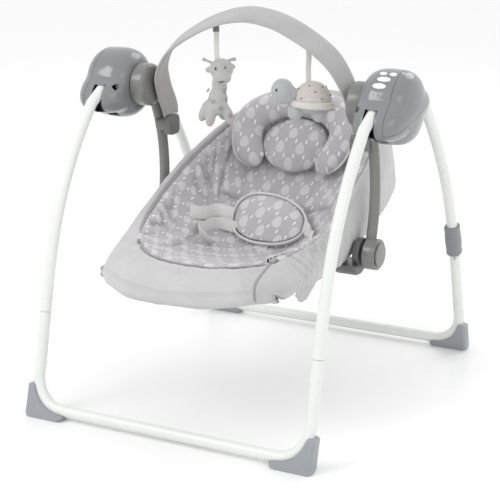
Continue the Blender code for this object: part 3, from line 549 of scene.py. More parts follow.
def build_stand():
    for end, outline, x, body in (("front", FRONT_LEG, FRONT_X, "front_frame"),
                                  ("rear", REAR_LEG, REAR_X, "stand")):
        tube_piece(f"{end}_base_tube", floor_line(outline, x, SEAM_Z[end] - GAP / 2), body)
        for side, sign in SIDES.items():
            leg = [p for p in leg_line(outline, x) if p[2] > SEAM_Z[end] + 0.002]
            start = np.array(leg[0]) + (np.array(leg[0]) - leg[1]) * (
                (leg[0][2] - SEAM_Z[end] - GAP / 2) / (leg[1][2] - leg[0][2]))
            tube_piece(f"{end}_leg_{side}", flip(np.array([start, *leg]), sign), body)
            carry(f"{end}_foot_{side}", LOOKS["foot"], 0.0011)
    for side, sign in SIDES.items():
        build_clamp(side, sign)
        carry(f"clamp_screw_{side}", LOOKS["steel"], 0.0002)
        for node, look in (("shaft_bearing", "white_plastic"), ("fold_axle", "steel"),
                           ("fold_pivot", "steel"), ("swing_shaft", "steel")):
            carry(f"{node}_{side}", LOOKS[look], 0.0003)


def build_clamp(side, sign):
    """Sleeve over the joint of a rear leg: a waisted body with a collar at each end."""
    line = leg_line(REAR_LEG, REAR_X, 20)
    start, end = (np.array([np.interp(z, line[:, 2], line[:, i]) for i in range(3)])
                  for z in CLAMP_Z)
    stations = ((0.0, 0.90), (0.02, 0.97), (0.06, 1.0), (0.11, 1.0), (0.125, 0.955), (0.15, 0.955),
                (0.3, 1.0), (0.5, 1.03), (0.72, 1.0), (0.85, 0.955), (0.875, 0.955), (0.89, 1.0),
                (0.95, 1.0), (0.985, 0.96), (1.0, 0.90))
    path = np.array([start + (end - start) * t for t, _ in stations])
    outer = [np.array(ring) for ring in sweep(path, rounded(0.031, 0.033, 0.012))]
    outer = [c + (ring - c) * size for ring, c, (_, size) in zip(outer, path, stations)]
    bore = sweep(path[[-1, 0]], circle(TUBE_R + GAP, len(outer[0])))
    ring_piece(f"rear_clamp_{side}_looks", flip(outer + bore, sign), "grey", "stand", "grey_plastic",
               [f"rear_clamp_{side}"], loop=True)


# Hubs.

HUB_R = 0.070
FACE_X = 0.022
SHELL = 0.0025
SHAFT_BORE = 0.0122
HOUSING = ((-0.048, 0.640), (-0.0465, 0.720), (-0.040, 0.850), (-0.030, 0.945),
           (-0.016, 0.995), (0.004, 1.0), (FACE_X - GAP, 0.985))
COVER = ((FACE_X + GAP, 0.985), (0.033, 0.925), (0.043, 0.790), (0.0495, 0.540), (0.0527, 0.26),
         (0.0535, 0.0))


def bump(angle, centre, half):
    off = abs((angle - centre + 180) % 360 - 180)
    return math.cos(math.pi / 2 * off / half) ** 2 if off < half else 0.0


def hub_outline(angle):
    return HUB_R + 0.034 * bump(angle, 197.0, 38.0) + 0.026 * bump(angle, 0.0, 34.0)


def hub_rings(profile, inset=0.0, count=120, steps=5):
    """Rings of a hub shell, with a smooth curve through the profile's (x, scale) points."""
    line = spline([(x, s, 0) for x, s in profile], steps)
    rings = []
    for x, scale, _ in line:
        ring = []
        for i in range(count):
            angle = 360.0 * i / count
            radius = max(hub_outline(angle) * scale - inset, 1e-4 * (i % 2 + 1))
            turn = math.radians(angle)
            ring.append((HUB.x + x, HUB.y + radius * math.cos(turn), HUB.z + radius * math.sin(turn)))
        rings.append(ring)
    return rings


def shell_piece(name, profile, sign, replaces, bore=None):
    """A hub half: outer surface, rim at the joint and inner surface, with the shaft's bore if given."""
    outer = hub_rings(profile)
    inner = hub_rings(profile, inset=SHELL)[::-1]
    for r, ring in enumerate(inner):
        t = r / (len(inner) - 1)
        move = -SHELL * (1 - t ** 4) if profile is COVER else SHELL * (1 - (1 - t) ** 4)
        inner[r] = [(x + move, y, z) for x, y, z in ring]
    if bore:
        count = len(outer[0])
        hole = [(HUB.x + profile[0][0] + SHELL, bore), (HUB.x + profile[0][0], bore)]
        rings = outer + inner + turned(hole, HUB, count)
    else:
        rings = outer[::-1] + inner[::-1]
    return ring_piece(name, flip(rings, sign), "hub", "stand", "hub_plastic", replaces,
                      loop=bool(bore))


def oval_rings(centre, normal, width, height, stations, count=40):
    """Rings of an oval pin along a normal: stations are (offset, scale)."""
    normal = Vector(normal).normalized()
    across = Vector((1, 0, 0))
    up = normal.cross(across)
    rings = []
    for offset, size in stations:
        rings.append([Vector(centre) + normal * offset
                      + (across * a * width / 2 + up * b * height / 2) * size
                      for a, b in circle(1.0, count)])
    return rings


# Angle on the housing, x, width and height.
BUTTONS = {
    "power_button": (41.0, 0.2915, 0.0265, 0.0115),
    "speed_button": (54.0, 0.2955, 0.0265, 0.0115),
    "music_button": (67.0, 0.2890, 0.0145, 0.0095),
    "volume_button": (67.0, 0.3080, 0.0145, 0.0095),
}
FOLD_BUTTON = Vector((0.2600, HUB.y, HUB.z + 0.003))
FOLD_BUTTON_R = 0.0055


def leg_slot():
    """Room that a front leg sweeps as it folds."""
    (y0, z0), (y1, z1) = FRONT_LEG[-2], FRONT_LEG[-1]
    inner = np.array([y1 - HUB.y, z1 - HUB.z])
    along = unit(np.array([y0 - y1, z0 - z1]))
    upper = np.array([along[1], -along[0]])
    upper = upper * np.sign(upper[1])
    # Half the slot's width, its reach past the shell, and the fold joint's range and a little more.
    room, far, fold = TUBE_R + 0.0015, 0.085, math.radians(55.5)

    def turned_by(point, angle):
        c, s = math.cos(angle), math.sin(angle)
        return (point[0] * c - point[1] * s, point[0] * s + point[1] * c)

    top, low = inner + upper * room, inner - upper * room
    outline = [tuple(top)]
    outline += [turned_by(top + along * far, fold * i / 12) for i in range(13)]
    outline += [turned_by(low + along * far, fold), turned_by(low, fold)]
    outline += [turned_by(low, fold * i / 6) for i in range(5, -1, -1)]
    return [[(x, HUB.y + p[0], HUB.z + p[1]) for p in outline]
            for x in (FRONT_X - room, FRONT_X + room)]


def build_hub(side, sign):
    housing = shell_piece(f"hub_housing_{side}_looks", HOUSING, sign, [f"hub_housing_{side}"],
                          SHAFT_BORE)
    combine(housing, flip(leg_slot(), sign))
    combine(housing, flip(sweep(leg_line(REAR_LEG, REAR_X), circle(TUBE_R + GAP)), sign))
    wide = 2 * (FOLD_BUTTON_R + GAP)
    combine(housing, flip(oval_rings(FOLD_BUTTON, (0, -1, 0), wide, wide,
                                     ((0.040, 1), (0.080, 1))), sign))
    soften(housing, 0.0007)
    cover = shell_piece(f"hub_cover_{side}_looks", COVER, sign, [f"hub_cover_{side}"])
    knob = oval_rings(FOLD_BUTTON, (0, -1, 0), 2 * FOLD_BUTTON_R, 2 * FOLD_BUTTON_R,
                      ((0.046, 1), (0.0640, 1), (0.0655, 0.94), (0.0663, 0.8), (0.0665, 0.55)))
    ring_piece(f"fold_button_{side}_looks", flip(knob, sign), "grey", f"fold_button_{side}",
               "grey_plastic", [f"fold_button_{side}"])
    return housing, cover


def half_space(offset):
    """A big block below the battery door's seam, moved down by offset."""
    size, tilt = 0.12, math.radians(17.0)
    middle = Vector((HUB.x + 0.045, HUB.y, HUB.z - 0.010))
    along = Vector((0, math.cos(tilt), math.sin(tilt)))
    down = Vector((0, math.sin(tilt), -math.cos(tilt)))
    return [[middle + down * depth + Vector((sx * 0.03, 0, 0)) + along * sy * size
             for sx, sy in ((-1, -1), (1, -1), (1, 1), (-1, 1))]
            for depth in (offset, offset + 2 * size)]


def on_housing(degrees, x):
    """A point of the right housing's surface, and the normal there."""
    turn = math.radians(degrees)
    normal = Vector((0, -math.cos(turn), math.sin(turn)))
    return Vector((x, HUB.y, HUB.z)) + normal * HUB_R, normal


def build_control_side(housing, cover):
    door = shell_piece("battery_cover_looks", COVER, 1, ["battery_cover"])
    combine(cover, half_space(0.0))
    combine(door, half_space(0.0009), "INTERSECT")
    spot = (HUB.x, HUB.y - 0.034, HUB.z - 0.030)
    combine(door, turned(((HUB.x + 0.02, 0.0026), (HUB.x + 0.06, 0.0026)), spot, 32))
    for name, (angle, x, width, height) in BUTTONS.items():
        place, normal = on_housing(angle, x)
        combine(housing, oval_rings(place, normal, width + 2 * GAP, height + 2 * GAP,
                                    ((-0.010, 1), (0.010, 1))))
        cap = oval_rings(place, normal, width, height,
                         ((-0.0045, 1), (0.0006, 1), (0.0012, 0.96), (0.0016, 0.88), (0.0018, 0.7)))
        ring_piece(f"{name}_looks", cap, "button", name, "white_button", [name])
    for i in range(3):
        place, normal = on_housing(27.0, 0.276 + 0.009 * i)
        combine(housing, oval_rings(place, normal, 0.0022, 0.0022, ((-0.0015, 1), (0.003, 1)), 16))
    for obj in (cover, door):
        soften(obj, 0.0006)
    for node, look in (("battery_1", "cell"), ("battery_2", "cell"), ("control_board", "board"),
                       ("speaker", "dark"), ("drive_coil", "copper"), ("power_inlet", "dark"),
                       ("battery_screw", "steel"), ("drive_lever", "white_plastic")):
        carry(node, LOOKS[look], 0.0003)


def build_left_cover(cover):
    """Screw recesses round the rim and on the face of the hub that has no buttons."""
    for angle, reach in ((70, 0.052), (140, 0.055), (215, 0.06), (285, 0.052), (350, 0.06)):
        turn = math.radians(angle)
        spot = (0, HUB.y + reach * math.cos(turn), HUB.z + reach * math.sin(turn))
        combine(cover, flip(turned(((HUB.x + 0.028, 0.0028), (HUB.x + 0.08, 0.0028)), spot, 24), -1))
    soften(cover, 0.0006)


def build_hubs():
    made = {side: build_hub(side, sign) for side, sign in SIDES.items()}
    build_control_side(*made["right"])
    build_left_cover(made["left"][1])


# Swing arms.

ARM_X, ARM_R = 0.2365, 0.0105
ARM_LINE = ((-0.034, 0.597), (0.000, 0.558), (0.020, 0.512), (0.031, 0.465),
            (0.035, 0.415), (0.032, 0.370), (0.023, 0.330), (0.011, 0.297))


def round_profile(points, radius=0.0018, steps=4):
    """(x, radius) outline with each inner corner rounded."""
    pts = [np.array(p, float) for p in points]
    line = [pts[0]]
    for a, b, c in zip(pts, pts[1:], pts[2:]):
        back, on = a - b, c - b
        cut = min(radius, np.linalg.norm(back) * 0.45, np.linalg.norm(on) * 0.45)
        p, q = b + unit(back) * cut, b + unit(on) * cut
        for t in np.linspace(0, 1, steps + 1):
            line.append((1 - t) ** 2 * p + 2 * t * (1 - t) * b + t * t * q)
    return line + [pts[-1]]


def build_arms():
    boss = round_profile(((0.2170, 0.0), (0.2170, 0.0350), (0.2205, 0.0410), (0.2250, 0.0425),
                          (0.2470, 0.0425), (0.2484, 0.0405), (0.2484, 0.0)), 0.003)
    disc = round_profile(((0.2330, 0.0), (0.2330, 0.0305), (0.2585, 0.0305), (0.2585, 0.0)), 0.0025)
    cap = round_profile(((0.2589, 0.0), (0.2589, 0.0242), (0.2625, 0.0238), (0.2625, 0.0)), 0.0018)
    line = spline([(ARM_X, y, z) for y, z in ARM_LINE], 8)
    for side, sign in SIDES.items():
        arm = ring_piece(f"swing_arm_{side}_looks", flip(sweep(line, circle(ARM_R, 32)), sign), "arm",
                         "swing", "arm_plastic", [f"swing_arm_{side}"])
        combine(arm, flip(turned(boss, HUB), sign), "UNION")
        combine(arm, flip(turned(disc, PIVOT), sign), "UNION")
        lug = [BAR_PIVOT + Vector((x, 0, 0)) for x in (0.2140, 0.2150, 0.2360)]
        grow = lambda t: (0.93, 0.93) if t < 0.1 else (1.0, 1.0)
        combine(arm, flip(sweep(lug, rounded(0.028, 0.024, 0.007), (0, 1, 0), grow), sign), "UNION")
        combine(arm, flip(turned(((0.2200, 0.0078), (0.2560, 0.0078)), PIVOT, 32), sign))
        soften(arm, 0.0008, 2, 50)
        ring_piece(f"arm_cap_{side}_looks", flip(turned(cap, PIVOT), sign), "arm", "swing",
                   "arm_plastic", [f"arm_cap_{side}"])
        carry(f"recline_hub_{side}", LOOKS["dark_grey"], 0.0008)
    carry("seat_frame", LOOKS["tube"], smooth_deg=50)


# Stage, light and camera.

def build_stage():
    verts = [(x, y, 0.0) for x, y in ((-40, -40), (40, -40), (40, 40), (-40, 40))]
    look = Look("floor_white", 0.32, specular=0.35)
    look.colour(look.mix(look.noise(3, 2), (0.93, 0.93, 0.93), (0.95, 0.95, 0.95)))
    mesh_piece("floor", verts, [(0, 1, 2, 3)], look.mat, None, None)
    world = bpy.data.worlds.new("studio")
    world.use_nodes = True
    background = world.node_tree.nodes["Background"]
    background.inputs["Color"].default_value = (1.0, 1.0, 1.0, 1.0)
    background.inputs["Strength"].default_value = 1.0
    bpy.context.scene.world = world
    for name, place, size, watts in (("key", (-1.6, -2.3, 2.6), 1.4, 30),
                                     ("fill", (2.6, -1.4, 1.5), 1.6, 10),
                                     ("rim", (0.8, 2.4, 2.4), 1.6, 18)):
        lamp = bpy.data.lights.new(name, "AREA")
        lamp.energy = watts
        lamp.size = size
        obj = bpy.data.objects.new(name, lamp)
        obj.location = place
        obj.rotation_euler = (Vector((0, 0, 0.35)) - Vector(place)).to_track_quat("-Z", "Y").to_euler()
        bpy.context.scene.collection.objects.link(obj)
    bpy.context.scene.view_settings.view_transform = "Standard"


def build_camera():
    """The photograph's viewpoint, aimed at the middle of the swing."""
    aim = Vector((0.0, HUB.y, 0.2838))
    azimuth, elevation, distance = math.radians(27.93), math.radians(15.87), 3.001
    back = Vector((math.sin(azimuth) * math.cos(elevation), -math.cos(azimuth) * math.cos(elevation),
                   math.sin(elevation)))
    data = bpy.data.cameras.new("camera")
    data.lens = 108.9
    data.sensor_width = 36.0
    camera = bpy.data.objects.new("camera", data)
    camera.location = aim + back * distance
    camera.rotation_euler = (-back).to_track_quat("-Z", "Y").to_euler()
    bpy.context.scene.collection.objects.link(camera)
    bpy.context.scene.camera = camera


# Seat cover.

# Stations from the foot end to the head end: centre (y, z), seam (x, y, z), rim (x, y, z) and
# the skirt's depth.
SEAT = (
    ((-0.291, 0.3165), (0.147, -0.203, 0.319), (0.197, -0.226, 0.307), 0.034),
    ((-0.233, 0.303), (0.171, -0.160, 0.337), (0.203, -0.172, 0.326), 0.052),
    ((-0.143, 0.281), (0.181, -0.106, 0.364), (0.204, -0.112, 0.352), 0.080),
    ((-0.058, 0.266), (0.186, -0.036, 0.396), (0.204, -0.038, 0.384), 0.100),
    ((0.014, 0.270), (0.186, 0.032, 0.424), (0.204, 0.032, 0.411), 0.105),
    ((0.074, 0.314), (0.184, 0.099, 0.446), (0.202, 0.102, 0.435), 0.110),
    ((0.132, 0.372), (0.175, 0.162, 0.469), (0.194, 0.167, 0.462), 0.122),
    ((0.187, 0.432), (0.157, 0.213, 0.492), (0.178, 0.220, 0.487), 0.138),
    ((0.226, 0.484), (0.128, 0.244, 0.510), (0.150, 0.254, 0.509), 0.142),
    ((0.250, 0.518), (0.094, 0.264, 0.527), (0.118, 0.274, 0.527), 0.130),
)
LIP = ((0.0, -0.389, 0.281), (0.050, -0.380, 0.2805), (0.088, -0.364, 0.2805),
       (0.116, -0.347, 0.281), (0.138, -0.331, 0.2815), (0.154, -0.315, 0.2815),
       (0.166, -0.300, 0.281), (0.176, -0.285, 0.280), (0.182, -0.272, 0.279))
HEAD = ((0.0, 0.290, 0.549), (0.040, 0.289, 0.547), (0.068, 0.287, 0.543), (0.090, 0.284, 0.537),
        (0.106, 0.283, 0.531), (0.114, 0.286, 0.524), (0.118, 0.292, 0.512), (0.116, 0.315, 0.468),
        (0.108, 0.340, 0.415))
INNER = (0.0, 0.36, 0.66, 0.86, 1.0)  # columns from the centre to the seam
FINE = 12  # surface steps to each step of the control net
SEAM_COL = 4
# Net row, and how far the right wing sags there.
RIGHT_SAG = ((5.0, 0.0), (6.0, 0.004), (7.0, 0.024), (8.0, 0.038), (9.0, 0.028), (10.0, 0.012),
             (11.0, 0.0))


def seat_down(index):
    """The way that the skirt hangs at a station, square to the rim's run."""
    before, after = SEAT[max(index - 1, 0)][2], SEAT[min(index + 1, len(SEAT) - 1)][2]
    along = unit(np.array([0, after[1] - before[1], after[2] - before[2]]))
    return np.array([0, along[2], -along[1]])


def seat_row(index):
    """Control points of one station, centre to hem, on the right side."""
    (cy, cz), seam, rim, depth = SEAT[index]
    centre, seam, rim, down = np.array([0, cy, cz]), np.array(seam), np.array(rim), seat_down(index)
    drop = seam * [0, 1, 1] - centre
    row = [centre + drop * v ** 2.5 + np.array([v * seam[0], 0, 0]) for v in INNER]
    row.append((seam + rim) / 2 - down * 0.005)
    for off, depth_at in ((-0.001, 0.008), (0.0, 0.45 * depth), (-0.009, depth)):
        row.append(rim + np.array([off, 0, 0]) + down * depth_at)
    return row


def seat_net():
    """Control net of the right half, from the tucked lip edge over the seat to the back hem."""
    rows = [seat_row(i) for i in range(len(SEAT))]
    lip = np.array(LIP)
    seam = np.array(rows[0])
    front = []
    fade = np.array([1, 1, 1, 1, 1, 0.8, 0.3, -0.1, -0.5])[:, None]
    for t, lift in ((0.86, 0.0115), (0.5, 0.010)):
        front.append(seam + (lip - seam) * t + fade * [0, 0, lift])
    inward = (1 - (np.arange(len(lip)) / 8) ** 3)[:, None]
    under = lip + inward * [0, 0.008, -0.007] + (1 - inward) * [-0.003, 0.004, -0.004]
    tuck = lip + inward * [0, 0.045, -0.008] + (1 - inward) * [-0.012, 0.010, 0.0]
    tuck[:, 0] *= 0.96
    head = np.array(HEAD)
    crown = head + (np.array(rows[-1]) - head) * 0.45 + np.array([0, -0.002, 0.007])
    back = head * np.array([1.12, 1, 1]) + np.array([0, 0.040, -0.075])
    back[5:] = head[5:] + np.array([0.002, 0.030, -0.050])
    hem = head * np.array([1.2, 1, 1]) + np.array([0, 0.052, -0.150])
    hem[5:] = head[5:] + np.array([0.004, 0.028, -0.085])
    return np.array([tuck, under, lip, *front, *rows, crown, head, back, hem])


SEAM_ROWS = (5, 14)  # net rows of the seam, at the lip and at the head


def seat_surface():
    """Fine grid of the whole cover, over both sides."""
    net = seat_net()
    half = np.array([spline(row, FINE) for row in net])
    half = np.array([spline(half[:, c], FINE) for c in range(half.shape[1])]).transpose(1, 0, 2)
    left = half[:, :0:-1] * np.array([-1, 1, 1])
    # The right wing sags between the foot end and the recline hub.
    rows = np.arange(len(half)) / FINE
    sag = np.interp(rows, *zip(*RIGHT_SAG))[:, None]
    share = np.clip(np.arange(half.shape[1]) / FINE / SEAM_COL, 0, 1)[None, :] ** 2
    share = share * np.interp(np.arange(half.shape[1]) / FINE, (0, 6, 8), (1, 1, 0))[None, :]
    half[..., 2] -= sag * share
    return np.concatenate([left, half], axis=1)


def cloth_coords(grid):
    """Arc length across from the middle column and along from the seam row."""
    across = np.linalg.norm(np.diff(grid, axis=1), axis=2)
    u = np.concatenate([np.zeros((len(grid), 1)), np.cumsum(across, axis=1)], axis=1)
    u = u - u[:, u.shape[1] // 2:u.shape[1] // 2 + 1]
    v = arc_length(grid[:, grid.shape[1] // 2])
    return np.stack([u, np.repeat(v[:, None], grid.shape[1], 1), np.zeros_like(u)], axis=2)


def normals_of(grid):
    du = np.gradient(grid, axis=1)
    dv = np.gradient(grid, axis=0)
    n = np.cross(du, dv)
    return n / np.maximum(np.linalg.norm(n, axis=2, keepdims=True), 1e-9)


def ridge(distance, width):
    return np.exp(-(distance / width) ** 2)


def seat_relief(grid, cloth):
    """Height of seams, pleats and folds over the smooth surface, and how much painted shade each point
    gets for lying in a crease.
    """
    rows, cols = grid.shape[:2]
    r = np.arange(rows)[:, None] / FINE + np.zeros((1, cols))
    c = np.abs(np.arange(cols)[None, :] - cols // 2) / FINE + np.zeros((rows, 1))
    x, v = grid[..., 0], cloth[..., 1]
    height, crease_shade = np.zeros((rows, cols)), np.zeros((rows, cols))

    # Each groove also paints shade into its middle, as strong as dark.
    def groove(distance, width, depth, puff, where=1.0, dark=0.8):
        nonlocal height, crease_shade
        height = height + where * (puff * ridge(np.abs(distance) - 2.6 * width, 1.5 * width)
                                   - depth * ridge(distance, width))
        # Painted shade along the groove's middle.
        crease_shade = np.maximum(crease_shade, dark * where * ridge(distance, 0.7 * width))

    # The border and the lining are sewn together all round, and puff up beside the seam.
    side = np.where((r >= SEAM_ROWS[0] - 0.3) & (r <= SEAM_ROWS[1] + 0.3), np.abs(c - SEAM_COL), 9)
    ends = np.minimum(np.abs(r - SEAM_ROWS[0]), np.abs(r - SEAM_ROWS[1]))
    ends = np.where(c <= SEAM_COL + 0.2, ends, 9)
    groove(np.minimum(side, ends), 0.17, 0.0036, 0.0022)
    # Seams between the back panel and its wings, across the hip, and over the lip's corners.
    wing = 2.15 + 0.52 * (r - 9.75)
    hip = 10.25 - 0.5 * np.clip(c - 1.4, 0, 1)
    groove(c - wing, 0.10, 0.0038, 0.0024, np.clip((r - 9.6) / 0.2, 0, 1) * (c < SEAM_COL))
    groove(r - hip, 0.10, 0.0032, 0.0020, np.clip((wing - c) * 5, 0, 1), 0.75)
    corner = c - 5.1 + 0.50 * (r - 2.2) - 0.05 * np.sin(r * 3)
    groove(corner, 0.10, 0.0032, 0.0020, (x > 0) * np.clip((r - 1.6) * 3, 0, 1) * (r < 5), 0.8)
    # Pleats fan out from the hip corner over the wings.
    lean = np.where(x > 0, 0.12, 0.0)
    fans = ((9.4, 2.2, 0.80, 0.7), (9.4, 2.2, 0.50, 1.0), (9.3, 2.2, 0.22, 0.9),
            (9.2, 2.2, -0.06, 0.7), (7.3, 2.3, 0.55, 0.7), (7.2, 2.3, 0.25, 1.0),
            (7.1, 2.3, -0.02, 0.9), (7.0, 2.3, -0.30, 1.0), (6.9, 2.3, -0.55, 0.8),
            (6.8, 2.3, -0.85, 0.7))
    for start, from_c, slope, depth in fans:
        line = start + (slope + lean) * (c - from_c) + 0.10 * np.sin(c * 4 + slope * 9)
        fan = np.clip((c - from_c) * 1.4, 0, 1) * np.clip((SEAM_COL - 0.1 - c) * 1.5, 0, 1) * depth
        groove(r - line, 0.12, 0.0042, 0.0030, fan, 0.85)
    # Tucks run down from the hip seam, and short ones stand along the front seam.
    for at, slope, low, high in ((1.75, 0.10, 6.2, 9.7), (1.62, -0.22, 6.0, 8.1),
                                 (0.55, 0.1, 10.4, 11.2), (1.1, 0.14, 10.5, 11.6)):
        fade = np.clip((r - low) * 2, 0, 1) * np.clip((high - r) * 2, 0, 1)
        groove(c - at - slope * (r - 7.2), 0.09, 0.0026, 0.0016, fade * (x * np.cos(at * 9) > 0), 0.45)
    near_front = np.clip(1 - np.abs(r - SEAM_ROWS[0] - 0.35) / 0.8, 0, 1) * (c < SEAM_COL)
    height = height + near_front * 0.0012 * np.sin(c * 17 + 2 * np.sin(c * 5 + x * 20))
    # Elastic gathers the skirt and pleats the cloth, with painted shade in their troughs, and two rows
    # of stitches run along the lip.
    skirt = np.clip((c - 5.8) / 1.6, 0, 1) * (r > SEAM_ROWS[0] - 0.5)
    wave = np.sin(v * 330 + 2.6 * np.sin(v * 61 + x * 40) + 0.8 * c)
    height = height + skirt * 0.0016 * wave * (0.6 + 0.4 * np.sin(v * 47 + x * 30))
    crease_shade = np.maximum(crease_shade, 0.35 * skirt * np.clip(-wave, 0, 1) ** 2)
    pleat = (x > 0) * np.clip((r - 5.1) * 3, 0, 1) * np.clip((8.2 - r) * 1.5, 0, 1)
    pleat = pleat * np.clip((c - 4.15) * 4, 0, 1) * np.clip((7.4 - c), 0, 1)
    wave = np.sin(v * 560 + 5 * np.sin(v * 50) - 2.6 * c)
    height = height + 0.0011 * pleat * wave
    crease_shade = np.maximum(crease_shade, 0.4 * pleat * np.clip(-wave, 0, 1) ** 2)
    for at in (2.55, 2.75):
        groove(r - at, 0.06, 0.0008, 0.0004, np.clip(5.5 - c, 0, 1), 0.22)
    for i in range(rows):
        for j in range(cols):
            p = Vector(grid[i, j])
            height[i, j] += 0.0022 * noise.noise(p * 9) + 0.0005 * noise.noise(p * 60)
            height[i, j] += 0.0018 * noise.noise(Vector((p.x * 34 + 7, p.y * 16, p.z * 16)))
    return height, np.clip(crease_shade, 0, 1)


def shell_faces(rows, cols):
    """Faces over a grid of vertices, and each one's place in it."""
    at = [(i, j) for i in range(rows - 1) for j in range(cols - 1)]
    corners = [i * cols + j for i, j in at]
    return [(k, k + 1, k + cols + 1, k + cols) for k in corners], at


COVER_THICK = 0.006


def build_seat_cover():
    grid = seat_surface()
    cloth = cloth_coords(grid)
    up = normals_of(grid)
    if up[len(up) // 2, up.shape[1] // 2, 2] < 0:
        up = -up
    # The second value is how much painted shade each vertex gets in the seams, pleats and folds.
    height, crease_shade = seat_relief(grid, cloth)
    grid = grid + up * (height + COVER_THICK - 0.0005)[..., None]
    rows, cols = grid.shape[:2]
    faces, at = shell_faces(rows, cols)
    cover = mesh_piece("seat_cover_looks", grid.reshape(-1, 3), faces,
                       [LOOKS["velour"], LOOKS["print"]], None, "velour", replaces=["seat_cover"],
                       smooth_deg=70, cloth=cloth.reshape(-1, 3), crease_shade=crease_shade.ravel())
    mid = cols // 2
    for face, (i, j) in zip(cover.data.polygons, at):
        c = (abs(j + 0.5 - mid)) / FINE
        r = (i + 0.5) / FINE
        face.material_index = int(c < SEAM_COL and SEAM_ROWS[0] < r < SEAM_ROWS[1])
    # The thickness goes below the surface, whichever way its faces turned out to look.
    inwards = -1.0 if cover.data.polygons[rows // 2 * (cols - 1) + mid].normal.z > 0 else 1.0
    modify(cover, "thickness", "SOLIDIFY", thickness=COVER_THICK, offset=inwards)
    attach(cover, "seat")
    build_seat_piping(grid, up)
    return grid, up


def build_seat_piping(grid, up):
    """Piping in the seam between the lining and the border, round the whole seat."""
    mid = grid.shape[1] // 2
    r0, r1, c = SEAM_ROWS[0] * FINE, SEAM_ROWS[1] * FINE, SEAM_COL * FINE
    index = [(r0, mid + j) for j in range(-c, c + 1)]
    index += [(i, mid + c) for i in range(r0 + 1, r1 + 1)]
    index += [(r1, mid + j) for j in range(c - 1, -c - 1, -1)]
    index += [(i, mid - c) for i in range(r1 - 1, r0, -1)]
    path = np.array([grid[i, j] + up[i, j] * 0.0020 for i, j in index[::3]])
    rings = sweep(path, circle(0.0021, 10), side=(0, 0, 1), closed=True)
    ring_piece("seat_piping", rings, "piping", "seat", "velour", loop=True)


# Pillow, cushion and harness pad.

BACK_UP = unit(np.array([0, 0.55, 0.835]))
BACK_OUT = np.array([0, -BACK_UP[2], BACK_UP[1]])
PAD_UP = unit(np.array([0, 0.62, 0.785]))
PAD_OUT = np.array([0, -PAD_UP[2], PAD_UP[1]])
PILLOW = np.array([0, 0.186, 0.480])
PAD = np.array([0.004, 0.041, 0.329])
PUFF_FRAMES = 20
RIGHT_STRAP_SIDE = (-0.2, 0.5, 0.85)


def crowned(outline, centre, low, high, steps=7):
    """Rings of a closed cushion over an (u, v) outline: flat seam edge, crowned both sides."""
    outline, centre = np.asarray(outline, float), np.asarray(centre, float)
    rings = []
    for i in range(-steps, steps + 1):
        t = i / steps
        shrink = max((1 - abs(t) ** 2.2) ** 0.5, 0.03)
        rise = (high if t > 0 else low) * abs(t) ** 0.85
        rings.append([(*(centre + (p - centre) * shrink), rise) for p in outline])
    return rings


def remeshed(name, verts, faces, look, voxel, smooth):
    """One even skin over the meshes given."""
    obj = mesh_piece(name, verts, faces, look, None, None)
    modify(obj, "remesh", "REMESH", mode="VOXEL", voxel_size=voxel)
    modify(obj, "even", "SMOOTH", iterations=smooth)
    bake(obj)
    return obj


def puff(name, rings, place, replaced, pressure, cap, pinned, grow=0.03, voxel=0.0045):
    """Closed cushion from (u, v, out) rings, swollen as sewn cloth with its seam line held.

    No point moves further than cap."""
    verts, faces = skin([[place(*p) for p in ring] for ring in rings])
    obj = remeshed(name, verts, faces, LOOKS["print"], voxel, 4)
    start = np.array([v.co for v in obj.data.vertices])
    group = obj.vertex_groups.new(name="seam")
    group.add([i for i, p in enumerate(start) if pinned(p)], 1.0, "REPLACE")
    sim = obj.modifiers.new("cloth", "CLOTH")
    for key, value in (("quality", 6), ("mass", 0.15), ("tension_stiffness", 25),
                       ("compression_stiffness", 25), ("bending_stiffness", 0.12),
                       ("shrink_min", -grow), ("use_pressure", True),
                       ("uniform_pressure_force", pressure), ("vertex_group_mass", "seam")):
        setattr(sim.settings, key, value)
    sim.settings.effector_weights.gravity = 0
    sim.point_cache.frame_start, sim.point_cache.frame_end = 1, PUFF_FRAMES
    for step in range(1, PUFF_FRAMES + 1):
        bpy.context.scene.frame_set(step)
    bake(obj)
    now = np.array([v.co for v in obj.data.vertices])
    move = now - start
    far = np.linalg.norm(move, axis=1, keepdims=True)
    now = start + move * np.minimum(1.0, cap / np.maximum(far, 1e-9))
    obj.data.vertices.foreach_set("co", now.ravel())
    bpy.context.scene.frame_set(1)
    modify(obj, "fine", "SUBSURF", levels=1, render_levels=1)
    bake(obj)
    obj.data.shade_smooth()
    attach(obj, "seat")
    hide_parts(replaced)
    return obj


def lay_cloth(obj, across, along, turn=0.0):
    """In-cloth coordinates of a cushion: its position in its own plane, turned a little."""
    points = np.array([v.co for v in obj.data.vertices])
    u, v = points @ np.asarray(across), points @ np.asarray(along)
    cloth = np.stack([u * math.cos(turn) + v * math.sin(turn),
                      v * math.cos(turn) - u * math.sin(turn), np.zeros(len(u))], axis=1)
    mark(obj.data, "cloth", cloth)


def on_pillow(u, v, out):
    return PILLOW + np.array([u, 0, 0]) + BACK_UP * v + BACK_OUT * (out + 0.9 * u * u)


def on_pad(u, v, out):
    return PAD + np.array([u, 0, 0]) + PAD_UP * v + PAD_OUT * out


